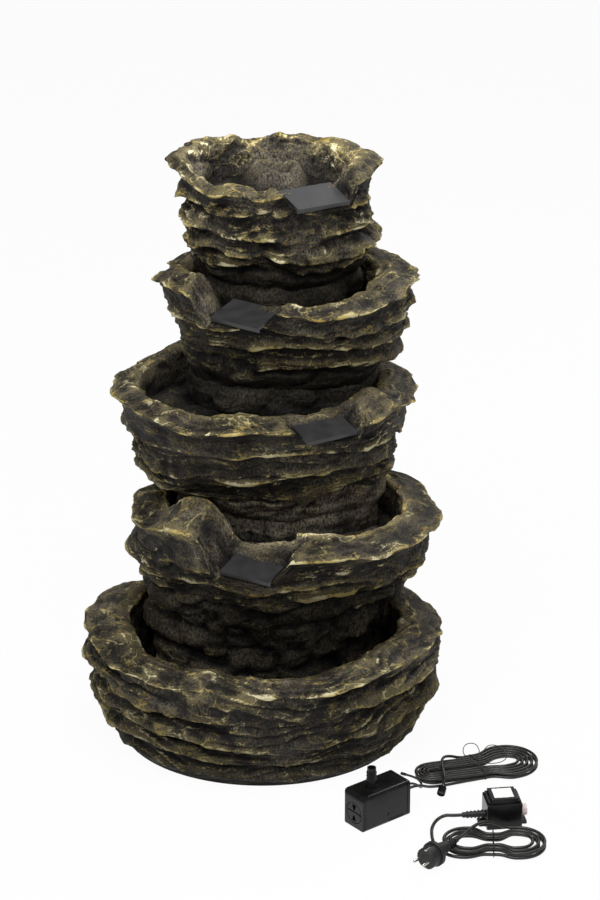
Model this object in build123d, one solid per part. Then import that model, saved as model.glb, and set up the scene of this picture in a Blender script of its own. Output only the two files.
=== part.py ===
from build123d import *
import math
import os

# Garden fountain of five stacked rock castings, with its pump, its low-voltage transformer and their leads.
# Millimetres, +Z up. The front faces -Y. The origin is on the floor under the middle of the basin.

os.makedirs("parts", exist_ok=True)

# Castings: walls, rims and the waviness of the strata
casting_wall = 15.0
crest_rise = 12.0
crest_share = 0.7
lip_rise = 4.0
pool_fall = 0.8
hollow_slope = 20.0
plateau_margin = 4.0
outline_sides = 40
ripple = 11.0
rim_sway = 8.0
calm_rows = 4
chin_spread = 26.0
chin_inset = 20.0
jamb_spread = 17.0
over = 1.0

# Waves round the rock: how many, how strong, and how far the phase turns them
ripple_waves = ((2, 0.8, 0.6), (3, 1.0, 1.0), (5, 0.8, 1.7), (8, 0.7, 2.3))
sway_waves = ((1, 0.6, 0.5), (2, 1.0, 0.7), (3, 0.8, 1.0), (5, 0.6, 1.3), (7, 0.4, 1.9))
basin_phase = 0.4
bowl_phase = 1.1
bowl_phase_step = 1.9
slab_phase_step = 0.9

# Strata rows lead with the foot, then go crest, undercut, crest and so on up to the rim's outer edge.
# A row is a height above the seat, then the reach to the left, right, front and back.
# Rim and pool give the rim's width and the reach of the pool's floor in the same order

# Basin
basin_floor = 30.0
basin_rim = (75, 70, 60, 40)
basin_pool = (229, 226, 228, 219)
basin_sway = 16.0
basin_strata = [
    (0, 258, 246, 238, 232),
    (22, 277, 267, 258, 246),
    (46, 272, 262, 254, 243),
    (60, 294, 285, 274, 256),
    (88, 286, 277, 266, 250),
    (103, 313, 304, 292, 268),
    (141, 297, 288, 278, 256),
    (157, 316, 309, 302, 271),
    (184, 305, 299, 294, 263),
    (204, 315, 308, 303, 272),
]

# Lower bowl
lower_floor = 325.0
lower_lip = 363.0
lower_plateau = 375.0
lower_rim = (60, 62, 92, 40)
lower_pool = (171, 238, 140, 209)
lower_sway = 16.0
lower_strata = [
    (0, 186, 186, 28, 188),
    (26, 194, 195, 40, 195),
    (66, 187, 188, 32, 190),
    (80, 198, 199, 45, 199),
    (124, 191, 192, 38, 194),
    (140, 202, 203, 50, 202),
    (184, 198, 206, 46, 200),
    (204, 212, 236, 62, 216),
    (238, 207, 244, 66, 222),
    (252, 228, 270, 92, 240),
    (288, 219, 264, 110, 234),
    (304, 240, 288, 168, 252),
    (342, 221, 281, 188, 241),
    (385, 236, 306, 240, 255),
]

# Middle bowl
middle_floor = 185.0
middle_lip = 225.0
middle_plateau = 240.0
middle_rim = (43, 60, 68, 34)
middle_pool = (214, 197, 136, 198)
middle_sway = 15.0
middle_strata = [
    (0, 146, 190, 12, 176),
    (18, 151, 196, 24, 181),
    (50, 168, 200, 40, 196),
    (64, 228, 222, 66, 231),
    (96, 214, 211, 84, 224),
    (112, 234, 224, 120, 240),
    (156, 221, 219, 138, 230),
    (174, 245, 241, 170, 241),
    (203, 240, 238, 182, 236),
    (235, 264, 263, 212, 245),
]

# Upper bowl
upper_floor = 140.0
upper_lip = 177.0
upper_plateau = 190.0
upper_rim = (50, 70, 42, 42)
upper_pool = (136, 186, 130, 176)
upper_sway = 12.0
upper_strata = [
    (0, 125, 186, 10, 186),
    (16, 129, 190, 22, 190),
    (34, 132, 196, 32, 196),
    (48, 144, 238, 54, 212),
    (78, 136, 222, 58, 205),
    (94, 155, 246, 90, 221),
    (124, 146, 232, 99, 211),
    (139, 173, 252, 132, 221),
    (168, 164, 244, 139, 212),
    (195, 192, 262, 180, 222),
]

# Top bowl
top_floor = 150.0
top_lip = 183.0
top_rim = (26, 40, 30, 42)
top_pool = (100, 122, 104, 138)
top_sway = 9.0
top_strata = [
    (0, 105, 150, 20, 165),
    (14, 109, 154, 30, 168),
    (30, 112, 160, 42, 171),
    (43, 131, 184, 63, 181),
    (57, 124, 170, 67, 172),
    (72, 138, 199, 93, 186),
    (97, 121, 167, 93, 172),
    (114, 139, 178, 117, 181),
    (148, 127, 163, 118, 170),
    (162, 141, 180, 139, 180),
    (180, 137, 175, 142, 175),
    (204, 159, 196, 165, 190),
]

# Spouts: a plate in a notch of the rim. Turns are from the front, positive to the right
spout_width = 96.0
spout_length = 62.0
spout_thickness = 5.0
spout_slope = 12.0
spout_side_gap = 0.5
spout_overhang = 9.0
spout_drip = 4.0
spout_inset = 13.0
notch_back = 105.0
notch_front = 45.0
notch_height = 130.0
drip_gap = 1.0
lower_spout = (-13.8, -30.0)
middle_spout = (25.4, 31.0)
upper_spout = (-20.6, -35.0)
top_spout = (26.8, 29.0)

# Jambs: where the rim rises beside a spout, and by how much
lower_jamb = (-44.0, 58.0)
middle_jamb = (52.0, 27.0)
upper_jamb = (-50.0, 27.0)
top_jamb = (58.0, 15.0)

# Riser hose and its seals
hose_x = 20.0
hose_y = 100.0
hose_od = 20.0
hose_bore = 16.0
hose_start = 55.0
hose_above_floor = 14.0
seal_wall = 4.0
seal_flange = 5.0
seal_flange_thickness = 4.0
seal_gap = 0.15

# Water gates at the foot of the lower bowl
gate_width = 60.0
gate_height = 36.0
gate_turns = (0.0, 118.0, 242.0)

# Pump: local X runs from the front of the motor block to the rear, and the rotor turns about X
pump_x = 170.0
pump_y = -363.9
pump_turn = 38.7
pump_width = 55.0
pump_height = 65.0
pump_edge = 6.0
casing_nose = 25.0
casing_front = 6.0
casing_wall = 2.4
nose_round = 14.0
nose_corner = 5.0
block_length = 69.0
block_wall = 2.5
block_side_gap = 3.6
block_top_gap = 0.4
rear_cap_length = 8.0
rear_cap_round = 2.0
parting_width = 1.2
parting_depth = 0.8

# Pump's wheel, its chamber, and the motor that turns it
rotor_drop = 1.5
rotor_height = pump_height / 2 - rotor_drop
volute_radius = 16.0
volute_depth = 18.0
volute_plate = 4.0
volute_ledge = 3.0
suction_eye = 9.0
eye_hub = 5.6
eye_arms = 3
eye_arm_width = 2.5
rotor_radius = 8.4
rotor_length = 30.0
rotor_gap = 0.6
rotor_end_play = 1.0
well_wall = 1.6
vane_radius = 13.5
vane_height = 8.0
vane_width = 1.8
vane_count = 6
vane_disc = 2.0
shaft_radius = 1.5
shaft_fit = 0.05
bush_radius = 4.0
bush_length = 6.0
seat_gap = 0.15
ring_section = 1.4
stator_start = 30.0
stator_length = 24.0
stator_leg = 6.0
stator_slot = 18.0
stator_below_rotor = 14.0
stator_above_rotor = 27.0
stator_bottom = rotor_height - stator_below_rotor
stator_top = rotor_height + stator_above_rotor
stator_yoke = 8.0
coil_wall = 3.0
coil_height = 7.0

# Flow regulator on the pump's nose, and the intake comb low on its sides
dial_radius = 18.0
dial_thickness = 2.6
dial_recess = 3.0
dial_side_gap = 1.5
dial_lift = 0.2
dial_drop = 4.0
dial_height = rotor_height - dial_drop
dial_pin_radius = 3.0
dial_pin_fit = 0.05
dial_window_inner = 5.0
dial_window_outer = 15.5
dial_window_angle = 38.0
dial_bar_height = 1.4
dial_bar_width = 4.0
intake_slots = 9
intake_slot_width = 1.8
intake_slot_height = 9.0
intake_slot_pitch = 3.6
intake_slot_start = 30.0
dimple_radius = 3.4
dimple_depth = 0.8
dimple_height = 20.0

# Outlet nozzle of the pump
nozzle_x = 13.0
nozzle_bore = 10.0
nozzle_od = 15.0
nozzle_height = 36.0
nozzle_foot = 21.0
nozzle_foot_height = 5.0
nozzle_ledge = 1.2
barb_start = 14.0
barb_pitch = 6.0
barb_length = 4.8
barb_rise = 1.5
barb_count = 3

# Lead glands on the pump's rear
gland_length = 12.0
gland_root = 4.6
gland_tip = 3.2
gland_collar = 2.0
gland_side = 6.5
gland_above_rotor = 6.0
gland_height = rotor_height + gland_above_rotor

# Transformer: local origin under the middle of its base plate
transformer_x = 400.4
transformer_y = -361.2
transformer_turn = 7.7
transformer_width = 60.0
transformer_depth = 50.0
transformer_base_thickness = 4.0
transformer_case_height = 42.0
transformer_wall = 2.5
transformer_edge = 2.0
ear_length = 11.0
ear_width = 24.0
ear_hole = 4.4
lid_width = 46.0
lid_depth = 42.0
lid_height = 5.0
lid_step = 4.0
lid_step_height = 4.0
core_width = 48.0
core_height = 38.0
core_depth = 16.0
core_leg = 16.0
core_window = 8.0
core_yoke = 8.0
winding_gap = 0.25
mains_gland_length = 38.0
mains_gland_height = 18.0
mains_gland_root = 7.0
mains_gland_tip = 4.6
mains_gland_ribs = 5
rib_rise = 1.2
rib_width = 2.6
rib_start = 0.4
socket_height = 21.0
socket_radius = 8.0
socket_bore = 5.0
socket_length = 9.0
socket_flange = 11.5
socket_flange_length = 3.0
cap_wall = 1.4
cap_length = 7.0

# Mains plug: local X runs from its face towards its lead
plug_x = 264.8
plug_y = -521.5
plug_turn = 49.4
plug_face_radius = 18.5
plug_face_length = 20.0
plug_collar_radius = 21.5
plug_collar_length = 7.0
plug_grip_root = 15.0
plug_grip_tip = 9.0
plug_grip_length = 29.0
plug_round = 2.0
pin_radius = 2.4
pin_length = 19.0
pin_spacing = 19.0
pin_root = 8.0
pin_root_radius = 1.8
earth_width = 5.0
earth_thickness = 1.5
earth_length = 14.0
earth_depth = 3.0
relief_length = 28.0
relief_stem = 6.0
relief_root = 6.0
relief_tip = 4.6
relief_ribs = 4

# Leads and their ties
mains_lead = 5.8
pump_lead = 5.0
light_lead = 4.0
lead_sides = 8
tie_wire = 1.5
tie_gap = 0.4
tie_corner = 4.0
tie_tail = 9.0
straight_run = 14.0
arc_share = 0.45
hank_finish = 0.375
hank_points_apart = 8

# Pump lead's hank: its waist, where the tie goes round, then its ends as reach, first radius and step
pump_hank_x = 369.0
pump_hank_y = -186.0
pump_hank_turn = 19.6
pump_hank_loops = 4
pump_hank_waist = 4.5
pump_hank_waist_step = 7.0
pump_hank_right_reach = 58.0
pump_hank_right_radius = 17.0
pump_hank_right_step = 8.2
pump_hank_left_reach = 84.0
pump_hank_left_radius = 4.5
pump_hank_left_step = 6.6
pump_hank_left_rise = 2.6
pump_hank_pitch = 7.0
pump_hank_start = 0.25

# Mains lead's hank
mains_hank_x = 381.0
mains_hank_y = -445.0
mains_hank_turn = -2.0
mains_hank_loops = 2
mains_hank_waist = 6.5
mains_hank_waist_step = 10.0
mains_hank_right_reach = 42.0
mains_hank_right_radius = 23.0
mains_hank_right_step = 10.0
mains_hank_left_reach = 44.0
mains_hank_left_radius = 20.0
mains_hank_left_step = 10.4
mains_hank_pitch = 7.6
mains_hank_start = 0.7

# Low-voltage connector at the end of the pump lead, and the capped end of the light lead
connector_x = 306.0
connector_y = -262.0
connector_turn = -106.0
connector_tilt = 22.0
connector_radius = 4.6
connector_length = 17.0
connector_neck = 6.0
connector_flange = 5.2
connector_flange_length = 2.0
connector_root = 3.1
nut_length = 15.0
nut_lip = 1.7
nut_wall = 1.6
nut_gap = 0.3
nut_flutes = 12
nut_flute_radius = 0.8
light_cap_radius = 2.6
light_cap_length = 10.0

lower_seat = basin_floor
middle_seat = lower_seat + lower_plateau
upper_seat = middle_seat + middle_plateau
top_seat = upper_seat + upper_plateau


def save(name, shape):
    export_step(shape, "parts/" + name + ".step")


def block(x0, x1, y0, y1, z0, z1):
    box = Box(x1 - x0, y1 - y0, z1 - z0, align=(Align.MIN, Align.MIN, Align.MIN))
    return Pos(x0, y0, z0) * box


def grow(reach, amount):
    return tuple(side + amount for side in reach)


def bump_at(angle, centre, spread):
    off = math.remainder(angle - centre, 2 * math.pi)
    return math.exp(-((off / math.radians(spread)) ** 2))


def rim_angle(spout_turn):
    return math.radians(spout_turn - 90.0)


def rim_point(reach, angle):
    left, right, front, back = reach
    x = (right - left) / 2 + (right + left) / 2 * math.cos(angle)
    y = (back - front) / 2 + (back + front) / 2 * math.sin(angle)
    return x, y


def wave_at(angle, phase, waves):
    total = sum(strength for count, strength, turn in waves)
    return sum(strength * math.sin(count * angle + turn * phase) for count, strength, turn in waves) / total


# One closed polygon round the rock: an ellipse by its four reaches, rippled and swaying in height
def outline(height, reach, wave=0.0, swing=0.0, phase=0.0, chin=None, lift=None):
    left, right, front, back = reach
    middle_x = (right - left) / 2
    middle_y = (back - front) / 2
    points = []
    for k in range(outline_sides):
        angle = 2 * math.pi * k / outline_sides
        bulge = wave * wave_at(angle, phase, ripple_waves)
        if chin:
            bulge += chin[1] * bump_at(angle, chin[0], chin_spread)
        x = middle_x + ((right + left) / 2 + bulge) * math.cos(angle)
        y = middle_y + ((back + front) / 2 + bulge) * math.sin(angle)
        z = height + swing * wave_at(angle, phase, sway_waves)
        if lift:
            z += lift[1] * bump_at(angle, lift[0], jamb_spread)
        points.append((x, y, z))
    return Wire.make_polygon(points, close=True)


# The rings of a casting's outside from its foot over its rim to the floor of its pool.
# A crest and the undercut below it make one slab: they sway together and ripple against each other
def outside_rings(seat, strata, sway, rim, floor, pool, phase, spout=None, jamb=None):
    rings = [outline(seat + strata[0][0], strata[0][1:])]
    rim_reach = strata[-1][1:]
    last = len(strata) - 1
    for row, (height, *reach) in enumerate(strata[1:], 1):
        chin = None
        if spout and row == last - 1:
            angle = rim_angle(spout[0])
            away = math.dist(rim_point(rim_reach, angle), rim_point(reach, angle))
            chin = (angle, max(away - chin_inset, 0.0))
        calm = min(1.0, row / calm_rows)
        wave = ripple * calm if row % 2 else -ripple * calm
        lift = (rim_angle(jamb[0]), jamb[1] / 2) if jamb and row == last else None
        swing = rim_sway if row >= last - 1 else sway * calm
        slab_phase = phase + slab_phase_step * (row // 2)
        rings.append(outline(seat + height, reach, wave, swing, slab_phase, chin, lift))
    top_phase = phase + slab_phase_step * (last // 2)
    top = seat + strata[-1][0]
    crest = tuple(a - crest_share * b for a, b in zip(rim_reach, rim))
    inner = tuple(a - b for a, b in zip(rim_reach, rim))
    lift = (rim_angle(jamb[0]), jamb[1]) if jamb else None
    rings.append(outline(top + crest_rise, crest, ripple, rim_sway, top_phase, None, lift))
    rings.append(outline(top + lip_rise, inner, ripple / 2, rim_sway, top_phase, None, lift))
    rings.append(outline(seat + floor, pool))
    return rings


# A bowl: hollow underneath, strata outside, a pool above and a plateau for the next bowl's foot
def bowl(seat, strata, sway, rim, floor, pool, phase, spout, jamb, plateau, next_foot):
    foot = grow(strata[0][1:], -casting_wall)
    ceiling = seat + floor - casting_wall
    rings = []
    if next_foot:
        step = grow(next_foot, plateau_margin - casting_wall)
        rings.append(outline(seat + plateau - casting_wall, step))
        rings.append(outline(ceiling, step))
        rings.append(outline(ceiling - hollow_slope, foot))
    else:
        rings.append(outline(ceiling, foot))
    rings.append(outline(seat, foot))
    rings += outside_rings(seat, strata, sway, rim, floor, pool, phase, spout, jamb)
    if next_foot:
        step = grow(next_foot, plateau_margin)
        rings.append(outline(seat + floor + pool_fall, step))
        rings.append(outline(seat + plateau, step))
    return Solid.make_loft(rings, True)


# Where a spout's plate starts inside the rim, with local X along its flow and its slope downwards
def spout_place(seat, strata, lip, spout):
    angle = rim_angle(spout[0])
    edge = rim_point(grow(strata[-1][1:], -spout_inset), angle)
    flow = Rot(0, 0, spout[1] - 90.0) * Rot(0, spout_slope, 0)
    return Pos(edge[0], edge[1], seat + lip) * flow


# The notch opens the rim above the plate, and in front of the plate it leaves room for the drip edge
def notch(place):
    half = spout_width / 2 + spout_side_gap
    drip_start = spout_overhang - drip_gap
    drip_low = -spout_drip - drip_gap
    opening = block(-notch_back, notch_front, -half, half, 0, notch_height)
    return place * (opening + block(drip_start, notch_front, -half, half, drip_low, drip_gap))


# The plate lies on the notch's floor and turns down at its outer edge
def spout_plate(place):
    end = spout_overhang
    start = end - spout_length
    profile = Polyline(
        (start, 0),
        (end, 0),
        (end, -spout_drip),
        (end + spout_thickness, -spout_drip),
        (end + spout_thickness, spout_thickness),
        (start, spout_thickness),
        close=True,
    )
    side = make_face(Plane.XZ * profile)
    plate = extrude(side, spout_width / 2, both=True)
    corner = plate.edges().filter_by(Axis.Y).sort_by(Axis.X)[-1]
    return place * fillet(corner, spout_thickness / 2)


def hose_hole(height):
    drop = 4 * casting_wall
    return Pos(hose_x, hose_y, height) * Cylinder(hose_od / 2 + seal_wall, 2 * drop)


def hose_seal(height):
    inside = hose_od / 2 + seal_gap
    outside = hose_od / 2 + seal_wall - seal_gap
    flange = outside + seal_flange
    profile = Polyline(
        (inside, -casting_wall),
        (outside, -casting_wall),
        (outside, 0),
        (flange, 0),
        (flange, seal_flange_thickness),
        (inside, seal_flange_thickness),
        close=True,
    )
    return Pos(hose_x, hose_y, height) * revolve(make_face(Plane.XZ * profile), Axis.Z)


# Stacked castings, spouts and the riser hose
basin_rings = outside_rings(
    0.0, basin_strata, basin_sway, basin_rim, basin_floor, basin_pool, basin_phase)
save("base_basin", Solid.make_loft(basin_rings, True))

tiers = [
    ("lower", lower_seat, lower_strata, lower_sway, lower_rim, lower_floor, lower_pool),
    ("middle", middle_seat, middle_strata, middle_sway, middle_rim, middle_floor, middle_pool),
    ("upper", upper_seat, upper_strata, upper_sway, upper_rim, upper_floor, upper_pool),
    ("top", top_seat, top_strata, top_sway, top_rim, top_floor, top_pool),
]
outlets = {
    "lower": (lower_lip, lower_spout, lower_jamb),
    "middle": (middle_lip, middle_spout, middle_jamb),
    "upper": (upper_lip, upper_spout, upper_jamb),
    "top": (top_lip, top_spout, top_jamb),
}
# What each tier carries: the height of its plateau and the foot that stands there
carried = {
    "lower": (lower_plateau, middle_strata[0][1:]),
    "middle": (middle_plateau, upper_strata[0][1:]),
    "upper": (upper_plateau, top_strata[0][1:]),
    "top": (top_floor, None),
}
for number, (name, seat, strata, sway, rim, floor, pool) in enumerate(tiers):
    lip, spout, jamb = outlets[name]
    place = spout_place(seat, strata, lip, spout)
    plateau, next_foot = carried[name]
    seal_height = seat + plateau
    phase = bowl_phase + bowl_phase_step * number
    rock = bowl(seat, strata, sway, rim, floor, pool, phase, spout, jamb, plateau, next_foot)
    rock = rock - notch(place) - hose_hole(seal_height)
    if name == "lower":
        run = 2 * max(strata[0][1:])
        gate = Box(run, gate_width, 2 * gate_height, align=(Align.MIN, Align.CENTER, Align.CENTER))
        for turn in gate_turns:
            rock = rock - Pos(0, hose_y, seat) * Rot(0, 0, turn + 90) * gate
    save("bowl_" + name, rock)
    save("spout_" + name, spout_plate(place))
    save("hose_seal_" + name, hose_seal(seal_height))
    print(name, "rock", round(rock.volume / 1e6, 2), "litres", len(rock.solids()), "solids")

hose_end = top_seat + top_floor + hose_above_floor
hose_ring = Circle(hose_od / 2) - Circle(hose_bore / 2)
riser = Pos(hose_x, hose_y, hose_start) * extrude(hose_ring, hose_end - hose_start)
save("riser_hose", riser)


# Pump
pump_place = Pos(pump_x, pump_y, 0) * Rot(0, 0, pump_turn)


def pump_section(inset=0.0):
    face = RectangleRounded(pump_width - 2 * inset, pump_height - 2 * inset, pump_edge - inset)
    return Plane.YZ * Pos(0, pump_height / 2) * face


def rod(radius, start, end, side=0.0, height=rotor_height):
    disc = Plane.YZ.offset(start) * Pos(side, height) * Circle(radius)
    return extrude(disc, end - start)


def spun(points):
    return revolve(make_face(Plane.XZ * Polyline(*points, close=True)), Axis.X)


# The casing's form is what its section, its side and its plan have in common
def casing_form(inset, front):
    low = inset
    high = pump_height - inset
    half = pump_width / 2 - inset
    section = Plane.YZ.offset(front) * (Plane.YZ.to_local_coords(pump_section(inset)))
    along = extrude(section, block_length - front)
    side = make_face(Plane.XZ * Polyline(
        (front, low), (block_length, low), (block_length, high), (front, high), close=True))
    nose = [v for v in side.vertices() if v.X < front + over and v.Z > rotor_height]
    side = extrude(fillet(nose, nose_round - inset), half, both=True)
    plan = make_face(Polyline(
        (front, -half), (block_length, -half), (block_length, half), (front, half), close=True))
    corners = [v for v in plan.vertices() if v.X < front + over]
    plan = extrude(fillet(corners, nose_corner - inset), pump_height)
    return along & side & plan


def dial_windows(depth, start):
    ring = Circle(dial_window_outer) - Circle(dial_window_inner)
    spread = dial_window_outer * math.tan(math.radians(dial_window_angle / 2))
    corners = [(0, 0), (spread, dial_window_outer), (-spread, dial_window_outer)]
    wedge = make_face(Polyline(*corners, close=True))
    shape = (ring & wedge) + (ring & Rot(0, 0, 180) * wedge)
    return extrude(Plane.YZ.offset(start) * Pos(0, dial_height) * shape, depth)


recess_floor = dial_recess - casing_nose
casing = casing_form(0.0, -casing_nose) - casing_form(casing_wall, casing_front - casing_nose)
casing -= rod(dial_radius + dial_side_gap, -casing_nose, recess_floor, 0, dial_height)
casing -= rod(dial_pin_radius + dial_pin_fit, -casing_nose, casing_front - casing_nose, 0, dial_height)
casing -= dial_windows(casing_front, recess_floor)
casing -= Pos(nozzle_x, 0, pump_height) * Cylinder(nozzle_foot / 2 + seat_gap, 4 * casing_wall)
for k in range(intake_slots):
    x = intake_slot_start + k * intake_slot_pitch
    casing -= block(x, x + intake_slot_width, -pump_width, pump_width, -over, intake_slot_height)
dimple_x = intake_slot_start - dimple_radius
dimple = Plane.XZ * Pos(dimple_x, dimple_height) * Circle(dimple_radius)
casing -= Pos(0, -pump_width / 2 + dimple_depth, 0) * extrude(dimple, 2 * dimple_depth)
save("pump_casing", pump_place * casing)

dial_back = recess_floor - dial_lift
dial = rod(dial_radius, dial_back - dial_thickness, dial_back, 0, dial_height)
dial -= dial_windows(dial_thickness, dial_back - dial_thickness)
dial_bar = Box(dial_bar_height, 2 * dial_window_outer, dial_bar_width)
dial += Pos(dial_back - dial_thickness - dial_bar_height / 2, 0, dial_height) * dial_bar
dial += rod(dial_pin_radius, dial_back, casing_front - casing_nose, 0, dial_height)
save("regulator_dial", pump_place * dial)

# Motor block: the wheel's chamber in front, the rotor's well behind it and the motor round the well
chamber_end = volute_plate + volute_depth
rotor_start = volute_plate + rotor_end_play + vane_height + vane_disc
well_end = rotor_start + rotor_length + rotor_end_play
pocket_end = well_end + bush_length
block_half = pump_width / 2 - casing_wall - block_side_gap
block_low = casing_wall + block_side_gap
block_high = pump_height - casing_wall - block_top_gap
block_middle = (block_low + block_high) / 2


def block_section(inset=0.0):
    face = RectangleRounded(2 * (block_half - inset), block_high - block_low - 2 * inset, pump_edge - inset)
    return Plane.YZ * Pos(0, block_middle) * face


nozzle_low = rotor_height + volute_radius + nozzle_ledge
upright = (Align.CENTER, Align.CENTER, Align.MIN)
nozzle_hole = Pos(nozzle_x, 0, nozzle_low) * Cylinder(nozzle_od / 2 + seat_gap, pump_height, align=upright)
nozzle_hole += Pos(nozzle_x, 0, rotor_height) * Cylinder(nozzle_bore / 2, pump_height, align=upright)
motor_block = extrude(block_section(), block_length)
motor_block -= rod(volute_radius + volute_ledge, -over, volute_plate)
motor_block -= rod(volute_radius, 0, chamber_end)
motor_bay = Pos(chamber_end + block_wall, 0, 0) * extrude(block_section(block_wall), block_length)
motor_block -= motor_bay - rod(rotor_radius + rotor_gap + well_wall, 0, pocket_end + well_wall)
motor_block -= rod(rotor_radius + rotor_gap, 0, well_end)
motor_block -= rod(bush_radius + seat_gap, well_end - over, pocket_end)
motor_block -= nozzle_hole
ring_radius = volute_radius + volute_ledge / 2
ring_room = ring_section / 2 + seat_gap
groove = Circle(ring_radius + ring_room) - Circle(ring_radius - ring_room)
motor_block -= extrude(Plane.YZ.offset(volute_plate) * Pos(0, rotor_height) * groove, ring_section)
save("pump_motor_block", pump_place * motor_block)

ring_start = Plane.XZ * Pos(volute_plate + ring_section / 2, rotor_height + ring_radius)
seal_ring = revolve(ring_start * Circle(ring_section / 2), Axis((0, 0, rotor_height), (1, 0, 0)))
save("volute_seal", pump_place * seal_ring)

eye = rod(suction_eye, -over, volute_plate + over) - rod(eye_hub, -over, volute_plate + over)
for k in range(eye_arms):
    arm = Box(2 * volute_plate + 4 * over, eye_arm_width, suction_eye + over, align=upright)
    eye -= Pos(0, 0, rotor_height) * Rot(360 * k / eye_arms, 0, 0) * arm
volute_cover = rod(volute_radius + volute_ledge - seat_gap, 0, volute_plate) - eye
volute_cover += rod(eye_hub, volute_plate - bush_length, volute_plate)
front_bush_start = volute_plate - bush_length + block_wall / 2
volute_cover -= rod(bush_radius + seat_gap, front_bush_start, volute_plate + over)
save("volute_cover", pump_place * volute_cover)

shaft_hole = shaft_radius + shaft_fit
front_bush = rod(bush_radius, front_bush_start, volute_plate)
front_bush -= rod(shaft_hole, front_bush_start, volute_plate)
rear_bush = rod(bush_radius, well_end, pocket_end) - rod(shaft_hole, well_end, pocket_end)
save("shaft_bush_front", pump_place * front_bush)
save("shaft_bush_rear", pump_place * rear_bush)
save("impeller_shaft", pump_place * rod(shaft_radius, front_bush_start, pocket_end))

vane_start = volute_plate + rotor_end_play
vane_end = vane_start + vane_height
wheel = rod(vane_radius, vane_end, vane_end + vane_disc) + rod(bush_radius, vane_start, vane_end)
for k in range(vane_count):
    vane = block(vane_start, vane_end + over, -vane_width / 2, vane_width / 2, 0, vane_radius - over)
    wheel += Pos(0, 0, rotor_height) * Rot(360 * k / vane_count, 0, 0) * vane
wheel += rod(rotor_radius, vane_end + vane_disc, rotor_start + rotor_length)
wheel -= rod(shaft_hole, 0, block_length)
save("impeller", pump_place * wheel)

stator_half = stator_slot / 2 + stator_leg
stator_end = stator_start + stator_length
stator = block(stator_start, stator_end, -stator_half, stator_half, stator_bottom, stator_top)
stator -= block(0, block_length, -stator_slot / 2, stator_slot / 2, 0, stator_top - stator_yoke)
stator -= rod(rotor_radius + rotor_gap + well_wall + seat_gap, 0, block_length)
save("motor_stator", pump_place * stator)
coils = []
coil_top = stator_top - stator_yoke
for side in (-1, 1):
    leg = side * (stator_slot + stator_leg) / 2
    middle = Pos((stator_start + stator_end) / 2, leg, coil_top - coil_height / 2)
    outer = Box(stator_length + 2 * coil_wall, stator_leg + 2 * coil_wall, coil_height)
    inner = Box(stator_length + 2 * seat_gap, stator_leg + 2 * seat_gap, 2 * coil_height)
    coils.append(pump_place * (middle * (outer - inner)))
save("motor_coils", Compound(children=coils))

cap_start = block_length + parting_width
rear_cap = Pos(cap_start, 0, 0) * extrude(pump_section(), rear_cap_length - parting_width)
rear_cap = fillet(rear_cap.faces().sort_by(Axis.X)[-1].edges(), rear_cap_round)
rear_cap += Pos(block_length, 0, 0) * extrude(pump_section(parting_depth), parting_width)
cap_end = block_length + rear_cap_length
for side in (-gland_side, gland_side):
    rear_cap -= rod(gland_root + seat_gap, block_length, cap_end, side, gland_height)
save("pump_rear_cap", pump_place * rear_cap)

for name, side in (("pump_lead_gland", -gland_side), ("light_lead_gland", gland_side)):
    gland = spun([
        (block_length, 0), (block_length, gland_root), (cap_end + gland_collar, gland_root),
        (cap_end + gland_length, gland_tip), (cap_end + gland_length, 0)])
    save(name, pump_place * Pos(0, side, gland_height) * gland)

nozzle_top = pump_height + nozzle_height
nozzle_points = [
    (nozzle_bore / 2, nozzle_low), (nozzle_od / 2, nozzle_low), (nozzle_od / 2, block_high),
    (nozzle_foot / 2, block_high), (nozzle_foot / 2, pump_height + nozzle_foot_height),
    (nozzle_od / 2, pump_height + nozzle_foot_height)]
for k in range(barb_count):
    low = pump_height + barb_start + k * barb_pitch
    nozzle_points += [
        (nozzle_od / 2, low), (nozzle_od / 2 + barb_rise, low), (nozzle_od / 2, low + barb_length)]
nozzle_points += [(nozzle_od / 2, nozzle_top), (nozzle_bore / 2, nozzle_top)]
nozzle = revolve(make_face(Plane.XZ * Polyline(*nozzle_points, close=True)), Axis.Z)
save("hose_nozzle", pump_place * Pos(nozzle_x, 0, 0) * nozzle)

# Transformer
transformer_place = Pos(transformer_x, transformer_y, 0) * Rot(0, 0, transformer_turn)
half_width = transformer_width / 2
half_depth = transformer_depth / 2
ear_end = half_width + ear_length
case_low = transformer_base_thickness
case_top = case_low + transformer_case_height

base = block(-half_width, half_width, -half_depth, half_depth, 0, case_low)
base += block(-ear_end, ear_end, -ear_width / 2, ear_width / 2, 0, case_low)
base = fillet(base.edges().filter_by(Axis.Z), transformer_edge)
for side in (-1, 1):
    base -= Pos(side * (half_width + ear_length / 2), 0, 0) * Cylinder(ear_hole / 2, 4 * case_low)
save("transformer_base", transformer_place * base)

inner_width = half_width - transformer_wall
inner_depth = half_depth - transformer_wall
case = block(-half_width, half_width, -half_depth, half_depth, case_low, case_top)
case = fillet(case.edges().filter_by(Axis.Z) + case.faces().sort_by(Axis.Z)[-1].edges(), transformer_edge)
case -= block(-inner_width, inner_width, -inner_depth, inner_depth, case_low, case_top - transformer_wall)
gland_hole = Pos(-half_width, 0, mains_gland_height) * Rot(0, 90, 0)
case -= gland_hole * Cylinder(mains_gland_root - rib_rise + seat_gap, 4 * transformer_wall)
socket_hole = Pos(half_width, 0, socket_height) * Rot(0, 90, 0)
case -= socket_hole * Cylinder(socket_radius + seat_gap, 4 * transformer_wall)
save("transformer_case", transformer_place * case)

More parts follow.
